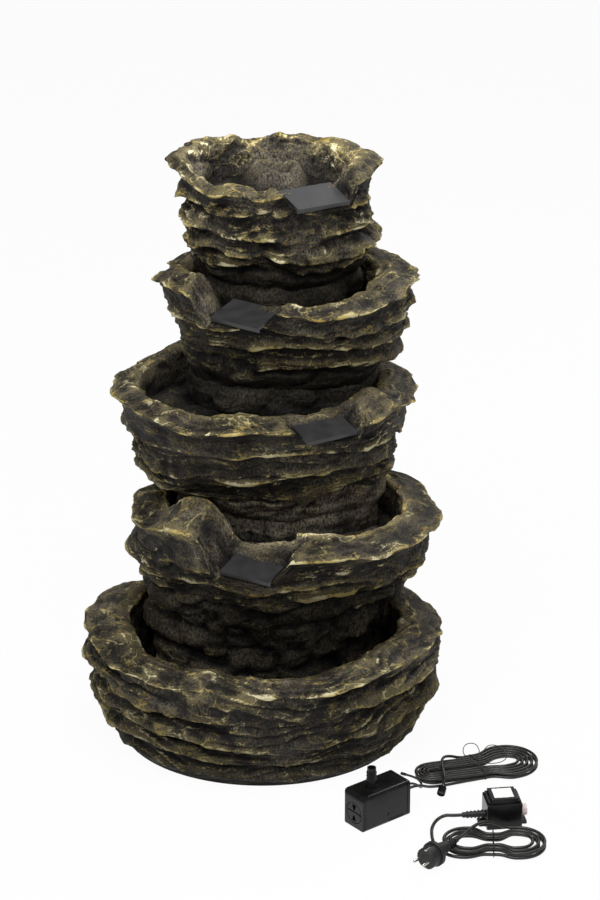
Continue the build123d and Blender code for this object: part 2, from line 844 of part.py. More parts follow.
lid_low = case_top
lid_mid = lid_low + lid_step_height
lid_half = lid_width / 2
lid_foot = lid_half + lid_step
lid = block(-lid_foot, lid_foot, -lid_depth / 2, lid_depth / 2, lid_low, lid_mid)
lid += block(-lid_half, lid_half, -lid_depth / 2, lid_depth / 2, lid_mid, lid_mid + lid_height)
lid = fillet(lid.faces().sort_by(Axis.Z)[-1].edges(), transformer_edge / 2)
save("transformer_lid", transformer_place * lid)

core_top = case_low + core_height
core_half = core_width / 2
core = block(-core_half, core_half, -core_depth / 2, core_depth / 2, case_low, core_top)
for side in (-1, 1):
    middle = side * (core_leg + core_window) / 2
    core -= block(middle - core_window / 2, middle + core_window / 2, -core_depth, core_depth,
                  case_low + core_yoke, core_top - core_yoke)
save("transformer_core", transformer_place * core)
wind_half = core_leg / 2 + core_window - winding_gap
wind_deep = core_depth / 2 + core_window - winding_gap
wind_low = case_low + core_yoke
wind_top = core_top - core_yoke - winding_gap
winding = block(-wind_half, wind_half, -wind_deep, wind_deep, wind_low, wind_top)
hole_half = core_leg / 2 + winding_gap
hole_deep = core_depth / 2 + winding_gap
winding -= block(-hole_half, hole_half, -hole_deep, hole_deep, 0, core_top)
save("transformer_winding", transformer_place * winding)


# A ribbed strain relief, tapering along X from its root to its tip
def ribbed_sleeve(length, root, tip, ribs, stem):
    def radius(x):
        return root - rib_rise + (tip - root + rib_rise) * x / length
    points = [(-stem, 0), (-stem, root - rib_rise), (0, root - rib_rise)]
    pitch = length / (ribs + 1)
    for k in range(ribs):
        low = pitch * (k + rib_start)
        high = low + rib_width
        points += [(low, radius(low)), (low, radius(low) + rib_rise), (high, radius(high) + rib_rise),
                   (high, radius(high))]
    points += [(length, tip), (length, 0)]
    return spun(points)


mains_gland = ribbed_sleeve(
    mains_gland_length, mains_gland_root, mains_gland_tip, mains_gland_ribs, transformer_wall)
mains_gland_place = transformer_place * Pos(-half_width, 0, mains_gland_height) * Rot(0, 0, 180)
save("mains_gland", mains_gland_place * mains_gland)
socket = spun([
    (-transformer_wall, socket_bore), (-transformer_wall, socket_radius), (0, socket_radius),
    (0, socket_flange), (socket_flange_length, socket_flange), (socket_flange_length, socket_radius),
    (socket_length, socket_radius), (socket_length, socket_bore)])
socket_place = transformer_place * Pos(half_width, 0, socket_height)
save("output_socket", socket_place * socket)
cap_inner = socket_radius + seat_gap
cap_end_x = socket_flange_length + cap_length
cap = spun([
    (socket_flange_length, cap_inner), (socket_flange_length, cap_inner + cap_wall),
    (cap_end_x + cap_wall, cap_inner + cap_wall), (cap_end_x + cap_wall, 0),
    (socket_length, 0), (socket_length, cap_inner)])
save("output_cap", socket_place * cap)

# Mains plug
plug_place = Pos(plug_x, plug_y, plug_collar_radius) * Rot(0, 0, plug_turn)
collar_end = plug_face_length + plug_collar_length
grip_end = collar_end + plug_grip_length
plug = spun([
    (0, 0), (0, plug_face_radius - plug_round), (plug_round, plug_face_radius),
    (plug_face_length, plug_face_radius), (plug_face_length, plug_collar_radius),
    (collar_end, plug_collar_radius), (collar_end, plug_grip_root),
    (grip_end, plug_grip_tip), (grip_end, 0)])
pins = []
for side in (-1, 1):
    plug -= rod(pin_root_radius + seat_gap, 0, pin_root, side * pin_spacing / 2, 0)
    pin = rod(pin_radius, -pin_length, 0, side * pin_spacing / 2, 0)
    pin = fillet(pin.edges().sort_by(Axis.X)[0], pin_radius / 2)
    pin += rod(pin_root_radius, 0, pin_root, side * pin_spacing / 2, 0)
    pins.append(plug_place * pin)
contacts = []
earth_half = earth_width / 2
slot_half = earth_half + seat_gap
for side in (-1, 1):
    turn = Rot(90 - 90 * side, 0, 0)
    low = plug_face_radius - earth_depth
    slot = block(-over, earth_length, -slot_half, slot_half, low, plug_face_radius + over)
    plug -= turn * slot
    contact = block(0, earth_length - seat_gap, -earth_half, earth_half, low, low + earth_thickness)
    contacts.append(plug_place * (turn * contact))
plug -= rod(relief_root - rib_rise + seat_gap, grip_end - relief_stem, grip_end + over, 0, 0)
save("plug_body", plug_place * plug)
save("plug_pins", Compound(children=pins))
save("plug_earth_contacts", Compound(children=contacts))
relief = ribbed_sleeve(relief_length, relief_root, relief_tip, relief_ribs, relief_stem)
save("plug_strain_relief", plug_place * Pos(grip_end, 0, 0) * relief)


def centre_of(place, x, y, z):
    return tuple((place * Vertex(x, y, z)).center())


# Leads: tubes of straight runs and tangent arcs, each arc as large as its two runs allow
def lead_section(path, size):
    return Plane(path @ 0, z_dir=path % 0) * RegularPolygon(size / 2, lead_sides)


def report(name, tube, path, size):
    side_area = lead_sides / 2 * (size / 2) ** 2 * math.sin(2 * math.pi / lead_sides)
    ratio = tube.volume / (side_area * path.length)
    print(name, "length", round(path.length), "volume over section times length", round(ratio, 4))


def lead_tube(name, points, size):
    route = [Vector(*point) for point in points]
    radii = []
    for before, corner, after in zip(route, route[1:], route[2:]):
        turn = (corner - before).get_angle(after - corner)
        shorter = min((corner - before).length, (after - corner).length)
        radii.append(arc_share * shorter / math.tan(math.radians(turn / 2)))
    path = FilletPolyline(*route, radius=radii)
    tube = sweep(lead_section(path, size), path=path)
    print(name, "radii", [round(radius) for radius in radii])
    report(name, tube, path, size)
    save(name, tube)


# A run between two points that leaves and arrives along the same flow: two arcs that meet halfway
def bent_run(start, end, flow):
    half = (end - start) / 2
    along = half.normalized()
    across = flow - along * flow.dot(along)
    if across.length < 1e-6:
        return [Line(start, end)]
    bend = math.radians(half.get_angle(flow))
    sag = across.normalized() * (half.length / 2 * math.tan(bend / 2))
    middle = start + half
    return [
        ThreePointArc(start, start + half / 2 + sag, middle),
        ThreePointArc(middle, middle + half / 2 - sag, end),
    ]


# One unbroken tube wound in two layers: it spirals in, climbs along a run, and spirals out again
class Hank:
    def __init__(self, size, loops, waist, right, left, pitch, start_step, left_rise=0.0):
        self.size = size
        self.loops = loops
        self.waist = waist
        self.right = right
        self.left = left
        self.pitch = pitch
        self.left_rise = left_rise
        self.low = tie_wire + 2 * tie_gap + size / 2
        self.high = self.low + pitch
        self.start_step = start_step
        self.end_step = hank_finish

    def waist_point(self, turn, side, level):
        first, step = self.waist
        return Vector(0, side * (first + step * turn), level)

    def end_point(self, turn, end, side, level):
        reach, first, step = self.right if end > 0 else self.left
        rise = 0.0 if end > 0 else self.left_rise
        return Vector(end * reach, side * (first + step * turn), level + rise)

    def end_arc(self, turn, end, level):
        reach, first, step = self.right if end > 0 else self.left
        start = self.end_point(turn, end, -end, level)
        finish = self.end_point(turn, end, end, level)
        tip = Vector(end * (reach + first + step * turn), 0, start.Z)
        return ThreePointArc(start, tip, finish)

    def stations(self):
        inward = [(self.loops - 0.5 * k, self.low) for k in range(2 * self.loops)]
        outward = [(0.5 * k + 0.25 * (k % 2), self.high) for k in range(2 * self.loops + 1)]
        return inward + outward

    def path(self, to_waist):
        ahead = Vector(1, 0, 0)
        straight = ahead * self.size
        start = self.waist_point(self.loops + self.start_step, -1, self.low)
        edges = [Line(start - straight, start)]
        here = start
        stations = self.stations()
        for k, (turn, level) in enumerate(stations):
            end = 1 if k % 2 == 0 else -1
            goal = self.end_point(turn, end, -end, level)
            if k > 0:
                before, old = stations[k - 1]
                middle = self.waist_point((before + turn) / 2, -end, (old + level) / 2)
                edges += bent_run(here, middle, ahead * end)
                here = middle
            edges += bent_run(here, goal, ahead * end)
            edges.append(self.end_arc(turn, end, level))
            here = self.end_point(turn, end, end, level)
        if to_waist:
            finish = self.waist_point(self.loops + self.end_step, 1, self.high)
            edges += bent_run(here, finish, ahead * -1)
            here = finish
        edges.append(Line(here, here - straight))
        return Wire(edges)

    # Least distance between the tube's surfaces where it passes itself
    def own_gap(self, path):
        count = int(path.length / (self.size / 2))
        points = [path.position_at(k / count) for k in range(count + 1)]
        least = min((a - b).length for k, a in enumerate(points) for b in points[k + hank_points_apart:])
        return least - self.size

    def tie(self):
        first, step = self.waist
        widest = first + step * (self.loops + max(self.start_step, self.end_step))
        half = widest + self.size / 2 + tie_gap + tie_wire / 2
        low = tie_wire / 2
        high = self.high + self.size / 2 + tie_gap + tie_wire / 2
        loop = Plane.YZ * Pos(0, (low + high) / 2) * RectangleRounded(2 * half, high - low, tie_corner)
        start = Plane.XZ * Pos(0, high) * Circle(tie_wire / 2)
        ring = sweep(start, path=loop.wire())
        twist = Cylinder(tie_wire, tie_tail, align=(Align.CENTER, Align.CENTER, Align.MIN))
        return ring + Pos(0, 0, high) * twist


pump_hank = Hank(
    pump_lead, pump_hank_loops, (pump_hank_waist, pump_hank_waist_step),
    (pump_hank_right_reach, pump_hank_right_radius, pump_hank_right_step),
    (pump_hank_left_reach, pump_hank_left_radius, pump_hank_left_step),
    pump_hank_pitch, pump_hank_start, pump_hank_left_rise)
mains_hank = Hank(
    mains_lead, mains_hank_loops, (mains_hank_waist, mains_hank_waist_step),
    (mains_hank_right_reach, mains_hank_right_radius, mains_hank_right_step),
    (mains_hank_left_reach, mains_hank_left_radius, mains_hank_left_step),
    mains_hank_pitch, mains_hank_start)
pump_hank_place = Pos(pump_hank_x, pump_hank_y, 0) * Rot(0, 0, pump_hank_turn)
mains_hank_place = Pos(mains_hank_x, mains_hank_y, 0) * Rot(0, 0, mains_hank_turn)
hanks = [
    ("pump_lead", pump_hank, pump_hank_place, True),
    ("mains_lead", mains_hank, mains_hank_place, False),
]
hank_ends = {}
for name, hank, place, to_waist in hanks:
    path = hank.path(to_waist)
    tube = sweep(lead_section(path, hank.size), path=path)
    report(name + "_hank", tube, path, hank.size)
    print(name + "_hank", "least gap to itself", round(hank.own_gap(path), 2))
    save(name + "_hank", place * tube)
    save(name + "_tie", place * hank.tie())
    ends = [path @ 0 - path % 0 * straight_run, path @ 0, path @ 1, path @ 1 + path % 1 * straight_run]
    hank_ends[name] = [centre_of(place, *point) for point in ends]


# Routes of the free stretches. Each leaves and arrives straight
lead_out = cap_end + gland_length
relief_out = grip_end + relief_length
nut_inner = connector_flange + nut_gap
nut_outer = nut_inner + nut_wall
nut_back = connector_neck - nut_gap - nut_lip
nut_front = nut_back + nut_length
tilt = math.radians(connector_tilt)
connector_z = nut_front * math.sin(tilt) + nut_outer * math.cos(tilt) + nut_gap
connector_aim = Rot(0, 0, connector_turn) * Rot(0, connector_tilt, 0)
connector_place = Pos(connector_x, connector_y, connector_z) * connector_aim
pump_start_route = [
    centre_of(pump_place, lead_out, -gland_side, gland_height),
    centre_of(pump_place, lead_out + straight_run, -gland_side, gland_height),
    (267, -287, 28),
    (280, -267, 14),
    (293, -252, 6.5),
    (311, -244.5, 5),
    (334, -235, 4.8),
    *hank_ends["pump_lead"][:2],
]
pump_tail_route = [
    *hank_ends["pump_lead"][2:],
    (321, -166, 19.5),
    (308, -182, 25.5),
    (305, -208, 26),
    (308, -231, 23.5),
    centre_of(connector_place, -straight_run, 0, 0),
    centre_of(connector_place, 0, 0, 0),
]
light_route = [
    centre_of(pump_place, lead_out, gland_side, gland_height),
    centre_of(pump_place, lead_out + straight_run, gland_side, gland_height),
    (259, -279, 26),
    (267, -262, 10),
    (270.5, -245, 2.5),
    (268.5, -227, 2.3),
    (260, -211.5, 2.3),
    (244, -203, light_cap_radius),
]
mains_start_route = [
    centre_of(mains_gland_place, mains_gland_length, 0, 0),
    centre_of(mains_gland_place, mains_gland_length + straight_run, 0, 0),
    (303.7, -370.5, 18),
    (289.4, -378.4, 13.5),
    (281.1, -392.7, 7.5),
    (280, -410, 4),
    (281, -431, 3.4),
    (286, -453, 3.6),
    (298, -474, 4.4),
    (317, -487, 5.1),
    (340, -488, 5.2),
    *hank_ends["mains_lead"][:2],
]
mains_tail_route = [
    *hank_ends["mains_lead"][2:],
    (385, -401, 22),
    (364, -408, 27),
    (345, -425, 25),
    centre_of(plug_place, relief_out + straight_run, 0, 0),
    centre_of(plug_place, relief_out, 0, 0),
]
for name, route, size in (
    ("pump_lead_start", pump_start_route, pump_lead),
    ("pump_lead_tail", pump_tail_route, pump_lead),
    ("light_lead", light_route, light_lead),
    ("mains_lead_start", mains_start_route, mains_lead),
    ("mains_lead_tail", mains_tail_route, mains_lead),
):
    lead_tube(name, route, size)

# Low-voltage connector with its union nut, and the light lead's cap
neck_end = connector_neck
flange_end = neck_end + connector_flange_length
connector = spun([
    (0, 0), (0, connector_root), (neck_end, connector_radius), (neck_end, connector_flange),
    (flange_end, connector_flange), (flange_end, connector_radius), (connector_length, connector_radius),
    (connector_length, 0)])
save("lead_connector", connector_place * connector)
lip_inner = connector_radius + nut_gap
nut = spun([
    (nut_back, lip_inner), (nut_back, lip_inner + nut_wall), (nut_back + nut_lip, nut_outer),
    (nut_front, nut_outer), (nut_front, nut_inner), (nut_back + nut_lip, nut_inner),
    (nut_back + nut_lip, lip_inner)])
for k in range(nut_flutes):
    flute_start = nut_back + nut_lip + nut_wall
    flute = rod(nut_flute_radius, flute_start, nut_front + over, 0, nut_outer + nut_flute_radius / 2)
    nut -= Rot(360 * k / nut_flutes, 0, 0) * flute
save("connector_nut", connector_place * nut)

light_end = Vector(*light_route[-1])
light_flow = light_end - Vector(*light_route[-2])
light_cap = Cylinder(light_cap_radius, light_cap_length, align=(Align.CENTER, Align.CENTER, Align.MIN))
light_cap = fillet(light_cap.edges().sort_by(Axis.Z)[-1], light_cap_radius / 2)
save("light_lead_cap", Plane(light_end, z_dir=light_flow).location * light_cap)
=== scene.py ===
import bpy
import math
import numpy as np
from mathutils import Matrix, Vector


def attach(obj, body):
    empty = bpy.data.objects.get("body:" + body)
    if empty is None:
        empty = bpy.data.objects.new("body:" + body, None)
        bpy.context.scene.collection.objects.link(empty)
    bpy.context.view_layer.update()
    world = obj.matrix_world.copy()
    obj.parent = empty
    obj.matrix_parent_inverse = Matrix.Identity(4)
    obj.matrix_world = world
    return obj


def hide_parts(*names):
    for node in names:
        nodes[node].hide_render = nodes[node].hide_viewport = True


# Rock cascade fountain with its pump, transformer and leads. Metres, +Z up, front towards -Y
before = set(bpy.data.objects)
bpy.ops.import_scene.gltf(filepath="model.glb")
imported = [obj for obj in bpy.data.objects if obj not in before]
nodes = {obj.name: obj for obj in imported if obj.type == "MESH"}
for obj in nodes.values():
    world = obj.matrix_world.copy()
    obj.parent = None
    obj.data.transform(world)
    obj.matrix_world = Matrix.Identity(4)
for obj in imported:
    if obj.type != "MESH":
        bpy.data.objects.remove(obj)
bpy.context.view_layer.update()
scene = bpy.context.scene
print("frame:", len(nodes), "nodes")


# Shared helpers
def hexColour(code):
    parts = [int(code[i:i + 2], 16) / 255 for i in (1, 3, 5)]
    linear = [c / 12.92 if c <= 0.04045 else ((c + 0.055) / 1.055) ** 2.4 for c in parts]
    return (*linear, 1.0)


def addNode(tree, kind, inputs=(), **settings):
    node = tree.nodes.new(kind)
    for name, value in settings.items():
        setattr(node, name, value)
    for socket, value in dict(inputs).items():
        if isinstance(value, bpy.types.NodeSocket):
            tree.links.new(value, node.inputs[socket])
        else:
            node.inputs[socket].default_value = value
    return node


def startMaterial(name, **sockets):
    material = bpy.data.materials.new(name)
    material.use_nodes = True
    tree = material.node_tree
    shader = tree.nodes["Principled BSDF"]
    for socket, value in sockets.items():
        shader.inputs[socket.replace("_", " ")].default_value = value
    return material, tree, shader


# A stop is a place on the ramp with a colour or, for a mask, a plain level
def setStops(ramp, stops):
    bar = ramp.color_ramp
    while len(bar.elements) < len(stops):
        bar.elements.new(1.0)
    for element, (place, colour) in zip(bar.elements, stops):
        element.position = place
        element.color = hexColour(colour) if isinstance(colour, str) else (colour, colour, colour, 1.0)
    return ramp


def perMetre(millimetres):
    return 1000.0 / millimetres


def turned(x, y, degrees):
    turn = math.radians(degrees)
    return x * math.cos(turn) - y * math.sin(turn), x * math.sin(turn) + y * math.cos(turn)


def placed(place, x, y, z):
    dx, dy = turned(x, y, place["turn"])
    return place["x"] + dx, place["y"] + dy, z


def link(name, data):
    piece = bpy.data.objects.new(name, data)
    scene.collection.objects.link(piece)
    return piece


def dress(names, material):
    for name in names:
        data = nodes[name].data
        data.materials.clear()
        data.materials.append(material)


# Plain finishes: two close tones in soft clouds, a gloss that drifts with them, and a fine grain. Millimetres
plainLook = {"cloud": 22.0, "cloudDetail": 4.0, "stops": (0.3, 0.7), "strength": 0.2, "sockets": {}}


def plainFinish(look):
    look = {**plainLook, **look}
    material, tree, shader = startMaterial(look["name"], **look["sockets"])
    place = addNode(tree, "ShaderNodeTexCoord").outputs["Object"]
    cloud = addNode(tree, "ShaderNodeTexNoise", {"Vector": place, "Scale": perMetre(look["cloud"]),
                                                 "Detail": look["cloudDetail"]}).outputs["Fac"]
    tone = setStops(addNode(tree, "ShaderNodeValToRGB", {"Fac": cloud}), list(zip(look["stops"], look["colours"])))
    smooth, dull = look["roughness"]
    gloss = addNode(tree, "ShaderNodeMapRange", {"Value": cloud, "To Min": smooth, "To Max": dull})
    grain = addNode(tree, "ShaderNodeTexNoise", {"Vector": place, "Scale": perMetre(look["grain"]), "Detail": 2.0})
    bump = addNode(tree, "ShaderNodeBump", {"Height": grain.outputs["Fac"], "Strength": look["strength"],
                                            "Distance": look["depth"] / 1000})
    tree.links.new(tone.outputs["Color"], shader.inputs["Base Color"])
    tree.links.new(gloss.outputs[0], shader.inputs["Roughness"])
    tree.links.new(bump.outputs["Normal"], shader.inputs["Normal"])
    return material


# Camera, at the photograph's place: 4.7 m in front and looking down
view = {"place": (0.060, -4.7, 2.49), "down": 22.65, "lens": 117.64, "far": 60}
camera = bpy.data.cameras.new("camera")
camera.lens = view["lens"]
camera.clip_end = view["far"]
cameraObject = link("camera", camera)
cameraObject.location = view["place"]
cameraObject.rotation_euler = (math.radians(90 - view["down"]), 0, 0)
scene.camera = cameraObject
scene.view_settings.view_transform = "Standard"
print("camera set")

# Soft PVC sheath, extruded: near black, satin, with a faint long waviness
sheath = plainFinish({"name": "extruded PVC sheath", "colours": ("#131312", "#26241f"), "stops": (0.3, 0.75),
                      "cloud": 14.0, "cloudDetail": 3.0, "roughness": (0.42, 0.42),
                      "grain": 1.6, "depth": 0.4, "strength": 0.12})

# Leads: the routes repeat the construction's points
pump = {"x": 0.170, "y": -0.3639, "turn": 38.7, "leadOut": 0.089, "side": 0.0065, "height": 0.037}
transformer = {"x": 0.4004, "y": -0.3612, "turn": 7.7, "leadOut": 0.068, "height": 0.018}
plug = {"x": 0.2648, "y": -0.5215, "turn": 49.4, "leadOut": 0.084, "height": 0.0215}
connector = {"x": 0.306, "y": -0.262, "z": 0.01400, "turn": -106.0, "tilt": 22.0}
straightRun = 0.014
tie = {"wire": 0.0015, "gap": 0.0004}
pumpHank = {
    "x": 0.369, "y": -0.186, "turn": 19.6, "size": 0.005, "loops": 4, "waist": (0.0045, 0.0070),
    "right": (0.058, 0.017, 0.0082), "left": (0.084, 0.0045, 0.0066), "leftRise": 0.0026,
    "pitch": 0.0070, "start": 0.25, "finish": 0.375,
}
mainsHank = {
    "x": 0.381, "y": -0.445, "turn": -2.0, "size": 0.0058, "loops": 2, "waist": (0.0065, 0.0100),
    "right": (0.042, 0.023, 0.0100), "left": (0.044, 0.020, 0.0104), "leftRise": 0.0,
    "pitch": 0.0076, "start": 0.7, "finish": None,
}
arcPoints = 9
runShares = (0.3, 0.7)
tubeForm = {"order": 3, "roundSteps": 4, "runSteps": 6}


def hankLow(hank):
    return tie["wire"] + 2 * tie["gap"] + hank["size"] / 2


# Every half loop: how many turns out it lies, and its height. The upper layer's left ends lie a quarter further out
def hankStations(hank):
    loops = hank["loops"]
    low = hankLow(hank)
    inward = [(loops - 0.5 * k, low) for k in range(2 * loops)]
    outward = [(0.5 * k + 0.25 * (k % 2), low + hank["pitch"]) for k in range(2 * loops + 1)]
    return inward + outward


# One winding: in along the lower layer and out along the upper, drawn in at the waist
def hankPoints(hank):
    def waistAt(turn):
        return hank["waist"][0] + hank["waist"][1] * turn

    stations = hankStations(hank)
    waist = -waistAt(hank["loops"] + hank["start"])
    level = stations[0][1]
    points = [(-hank["size"], waist, level), (0.0, waist, level)]
    spread = 1 / math.cos(math.pi / (arcPoints - 1) / 2)
    for k, (turn, height) in enumerate(stations):
        end = 1 if k % 2 == 0 else -1
        reach, first, step = hank["right"] if end > 0 else hank["left"]
        radius = first + step * turn
        top = height + (hank["leftRise"] if end < 0 else 0.0)
        points.append((end * runShares[0] * reach, waist, level + (top - level) * runShares[0]))
        points.append((end * runShares[1] * reach, -end * radius, level + (top - level) * runShares[1]))
        for j in range(arcPoints):
            angle = math.pi * (j / (arcPoints - 1) - 0.5)
            across = reach + radius * spread * math.cos(angle)
            points.append((end * across, end * radius * spread * math.sin(angle), top))
        if k + 1 < len(stations):
            after, nextHeight = stations[k + 1]
            waist = end * waistAt((turn + after) / 2)
            level = (height + nextHeight) / 2
        elif hank["finish"]:
            waist = waistAt(hank["loops"] + hank["finish"])
            level = height
        else:
            points.append((reach - hank["size"], radius, top))
            break
        points.append((end * runShares[1] * reach, end * radius, top + (level - top) * (1 - runShares[1])))
        points.append((end * runShares[0] * reach, waist, top + (level - top) * (1 - runShares[0])))
        points.append((0.0, waist, level))
    if hank["finish"]:
        points.append((-hank["size"], waist, level))
    return [placed(hank, *point) for point in points]


def beyond(hank, point, away):
    dx, dy = turned(away, 0.0, hank["turn"])
    return point[0] + dx, point[1] + dy, point[2]


def connectorPoint(x):
    tilt = math.radians(connector["tilt"])
    return placed(connector, x * math.cos(tilt), 0.0, connector["z"] - x * math.sin(tilt))


def tube(name, points, diameter, material):
    data = bpy.data.curves.new(name, "CURVE")
    data.dimensions = "3D"
    data.bevel_depth = diameter / 2
    data.bevel_resolution = tubeForm["roundSteps"]
    data.resolution_u = tubeForm["runSteps"]
    data.use_fill_caps = True
    spline = data.splines.new("NURBS")
    spline.points.add(len(points) - 1)
    for point, place in zip(spline.points, points):
        point.co = (*place, 1.0)
    spline.order_u = tubeForm["order"]
    spline.use_endpoint_u = True
    data.materials.append(material)
    return link(name, data)


pumpTurns = hankPoints(pumpHank)
pumpRoute = [
    placed(pump, pump["leadOut"], -pump["side"], pump["height"]),
    placed(pump, pump["leadOut"] + straightRun, -pump["side"], pump["height"]),
    (0.267, -0.287, 0.028),
    (0.280, -0.267, 0.014),
    (0.293, -0.252, 0.0065),
    (0.311, -0.2445, 0.005),
    (0.334, -0.235, 0.0048),
    beyond(pumpHank, pumpTurns[0], -straightRun),
    *pumpTurns,
    beyond(pumpHank, pumpTurns[-1], -straightRun),
    (0.321, -0.166, 0.0195),
    (0.308, -0.182, 0.0255),
    (0.305, -0.208, 0.026),
    (0.308, -0.231, 0.0235),
    connectorPoint(-straightRun),
    connectorPoint(0.0),
]
lightRoute = [
    placed(pump, pump["leadOut"], pump["side"], pump["height"]),
    placed(pump, pump["leadOut"] + straightRun, pump["side"], pump["height"]),
    (0.259, -0.279, 0.026),
    (0.267, -0.262, 0.010),
    (0.2705, -0.245, 0.0025),
    (0.2685, -0.227, 0.0023),
    (0.260, -0.2115, 0.0023),
    (0.244, -0.203, 0.0026),
]
mainsTurns = hankPoints(mainsHank)
mainsRoute = [
    placed(transformer, -transformer["leadOut"], 0.0, transformer["height"]),
    placed(transformer, -transformer["leadOut"] - straightRun, 0.0, transformer["height"]),
    (0.3037, -0.3705, 0.018),
    (0.2894, -0.3784, 0.0135),
    (0.2811, -0.3927, 0.0075),
    (0.280, -0.410, 0.004),
    (0.281, -0.431, 0.0034),
    (0.286, -0.453, 0.0036),
    (0.298, -0.474, 0.0044),
    (0.317, -0.487, 0.0051),
    (0.340, -0.488, 0.0052),
    beyond(mainsHank, mainsTurns[0], -straightRun),
    *mainsTurns,
    beyond(mainsHank, mainsTurns[-1], -straightRun),
    (0.385, -0.401, 0.022),
    (0.364, -0.408, 0.027),
    (0.345, -0.425, 0.025),
    placed(plug, plug["leadOut"] + straightRun, 0.0, plug["height"]),
    placed(plug, plug["leadOut"], 0.0, plug["height"]),
]
leads = [
    {"name": "pumpLead", "route": pumpRoute, "size": 0.005, "length": 4.23, "end": "connector", "lay": "coiled",
     "replaces": ("pump_lead_start", "pump_lead_hank", "pump_lead_tail"),
     "pieces": ("lead_connector", "connector_nut")},
    {"name": "lightLead", "route": lightRoute, "size": 0.004, "length": 0.132, "end": "connector", "lay": "loose",
     "replaces": ("light_lead",), "pieces": ("light_lead_cap",)},
    {"name": "mainsLead", "route": mainsRoute, "size": 0.0058, "length": 2.117, "end": "plug", "lay": "coiled",
     "replaces": ("mains_lead_start", "mains_lead_hank", "mains_lead_tail"),
     "pieces": ("plug_body", "plug_pins", "plug_earth_contacts", "plug_strain_relief")},
]
for lead in leads:
    piece = tube(lead["name"], lead["route"], lead["size"], sheath)
    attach(piece, "fountain")
    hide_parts(*lead["replaces"])
print("leads laid:", len(leads))

# Studio: a pale floor that keeps a soft shadow, and broad soft lamps
studio = {"floor": 40.0, "white": 0.96, "world": 0.21, "aim": (0.05, -0.1, 0.45)}
floorMaterial, tree, shader = startMaterial("matt white studio floor", Base_Color=hexColour("#dededc"), Roughness=0.9)
output = tree.nodes["Material Output"]
path = addNode(tree, "ShaderNodeLightPath")
seen = addNode(tree, "ShaderNodeMath", {0: path.outputs["Is Camera Ray"], 1: path.outputs["Is Glossy Ray"]},
               operation="MAXIMUM")
seen = addNode(tree, "ShaderNodeMath", {0: seen.outputs[0], 1: path.outputs["Is Transmission Ray"]},
               operation="MAXIMUM")
share = addNode(tree, "ShaderNodeMath", {0: seen.outputs[0], 1: studio["white"]}, operation="MULTIPLY")
glow = addNode(tree, "ShaderNodeEmission", {"Color": (1, 1, 1, 1), "Strength": 1.0})
both = addNode(tree, "ShaderNodeMixShader", {0: share.outputs[0], 1: shader.outputs[0], 2: glow.outputs[0]})
tree.links.new(both.outputs[0], output.inputs["Surface"])
half = studio["floor"] / 2
floorMesh = bpy.data.meshes.new("floor")
floorMesh.from_pydata([(-half, -half, 0), (half, -half, 0), (half, half, 0), (-half, half, 0)], [], [(0, 1, 2, 3)])
floorMesh.materials.append(floorMaterial)
link("floor", floorMesh)

world = bpy.data.worlds.new("studio")
scene.world = world
world.use_nodes = True
sky = world.node_tree.nodes["Background"]
sky.inputs["Color"].default_value = (1, 1, 1, 1)
sky.inputs["Strength"].default_value = studio["world"]
lamps = [
    {"name": "overhead", "place": (-0.2, -1.6, 3.1), "size": 2.0, "power": 106},
    {"name": "key", "place": (-2.4, -2.8, 2.4), "size": 1.6, "power": 20},
    {"name": "rim", "place": (1.4, 2.2, 2.6), "size": 1.6, "power": 40},
    {"name": "fill", "place": (2.8, -2.4, 1.8), "size": 1.8, "power": 12},
]
for lamp in lamps:
    light = bpy.data.lights.new(lamp["name"], "AREA")
    light.size = lamp["size"]
    light.energy = lamp["power"]
    piece = link(lamp["name"], light)
    piece.location = lamp["place"]
    piece.rotation_euler = (Vector(studio["aim"]) - piece.location).to_track_quat("-Z", "Y").to_euler()
print("studio lit")

# Rock field: value noise on a hashed lattice, the same on every run
lattice = {"primes": (374761393, 668265263, 1440662683, 974711), "mixer": 1274126177, "word": 0xffffffff}
noiseForm = {"skew": ((0.92, 0.39, 0.0), (-0.39, 0.92, 0.0), (0.07, 0.05, 1.0)),
             "finer": 2.03, "shift": 17.3, "fineShare": 0.5}


def latticeValue(ix, iy, iz, seed):
    mixed = sum(prime * part for prime, part in zip(lattice["primes"], (ix, iy, iz, seed))) & lattice["word"]
    mixed = ((mixed ^ (mixed >> 13)) * lattice["mixer"]) & lattice["word"]
    return ((mixed ^ (mixed >> 16)) & 0xffff) / 32767.5 - 1.0


def smoothNoise(points, seed):
    base = np.floor(points).astype(np.int64)
    part = points - base
    fade = part ** 3 * (part * (part * 6 - 15) + 10)
    total = np.zeros(points.shape[:-1])
    for corner in range(8):
        step = np.array([corner & 1, corner >> 1 & 1, corner >> 2])
        weight = np.prod(np.where(step, fade, 1 - fade), axis=-1)
        at = base + step
        total += weight * latticeValue(at[..., 0], at[..., 1], at[..., 2], seed)
    return total


# Noise of a grain size given along X, Y and Z, with a finer one on top
def rockNoise(points, grain, seed):
    scaled = points @ np.array(noiseForm["skew"]) / np.array(grain)
    coarse = smoothNoise(scaled, seed)
    fine = smoothNoise(scaled * noiseForm["finer"] + noiseForm["shift"], seed + 1)
    return (coarse + noiseForm["fineShare"] * fine) / (1 + noiseForm["fineShare"])


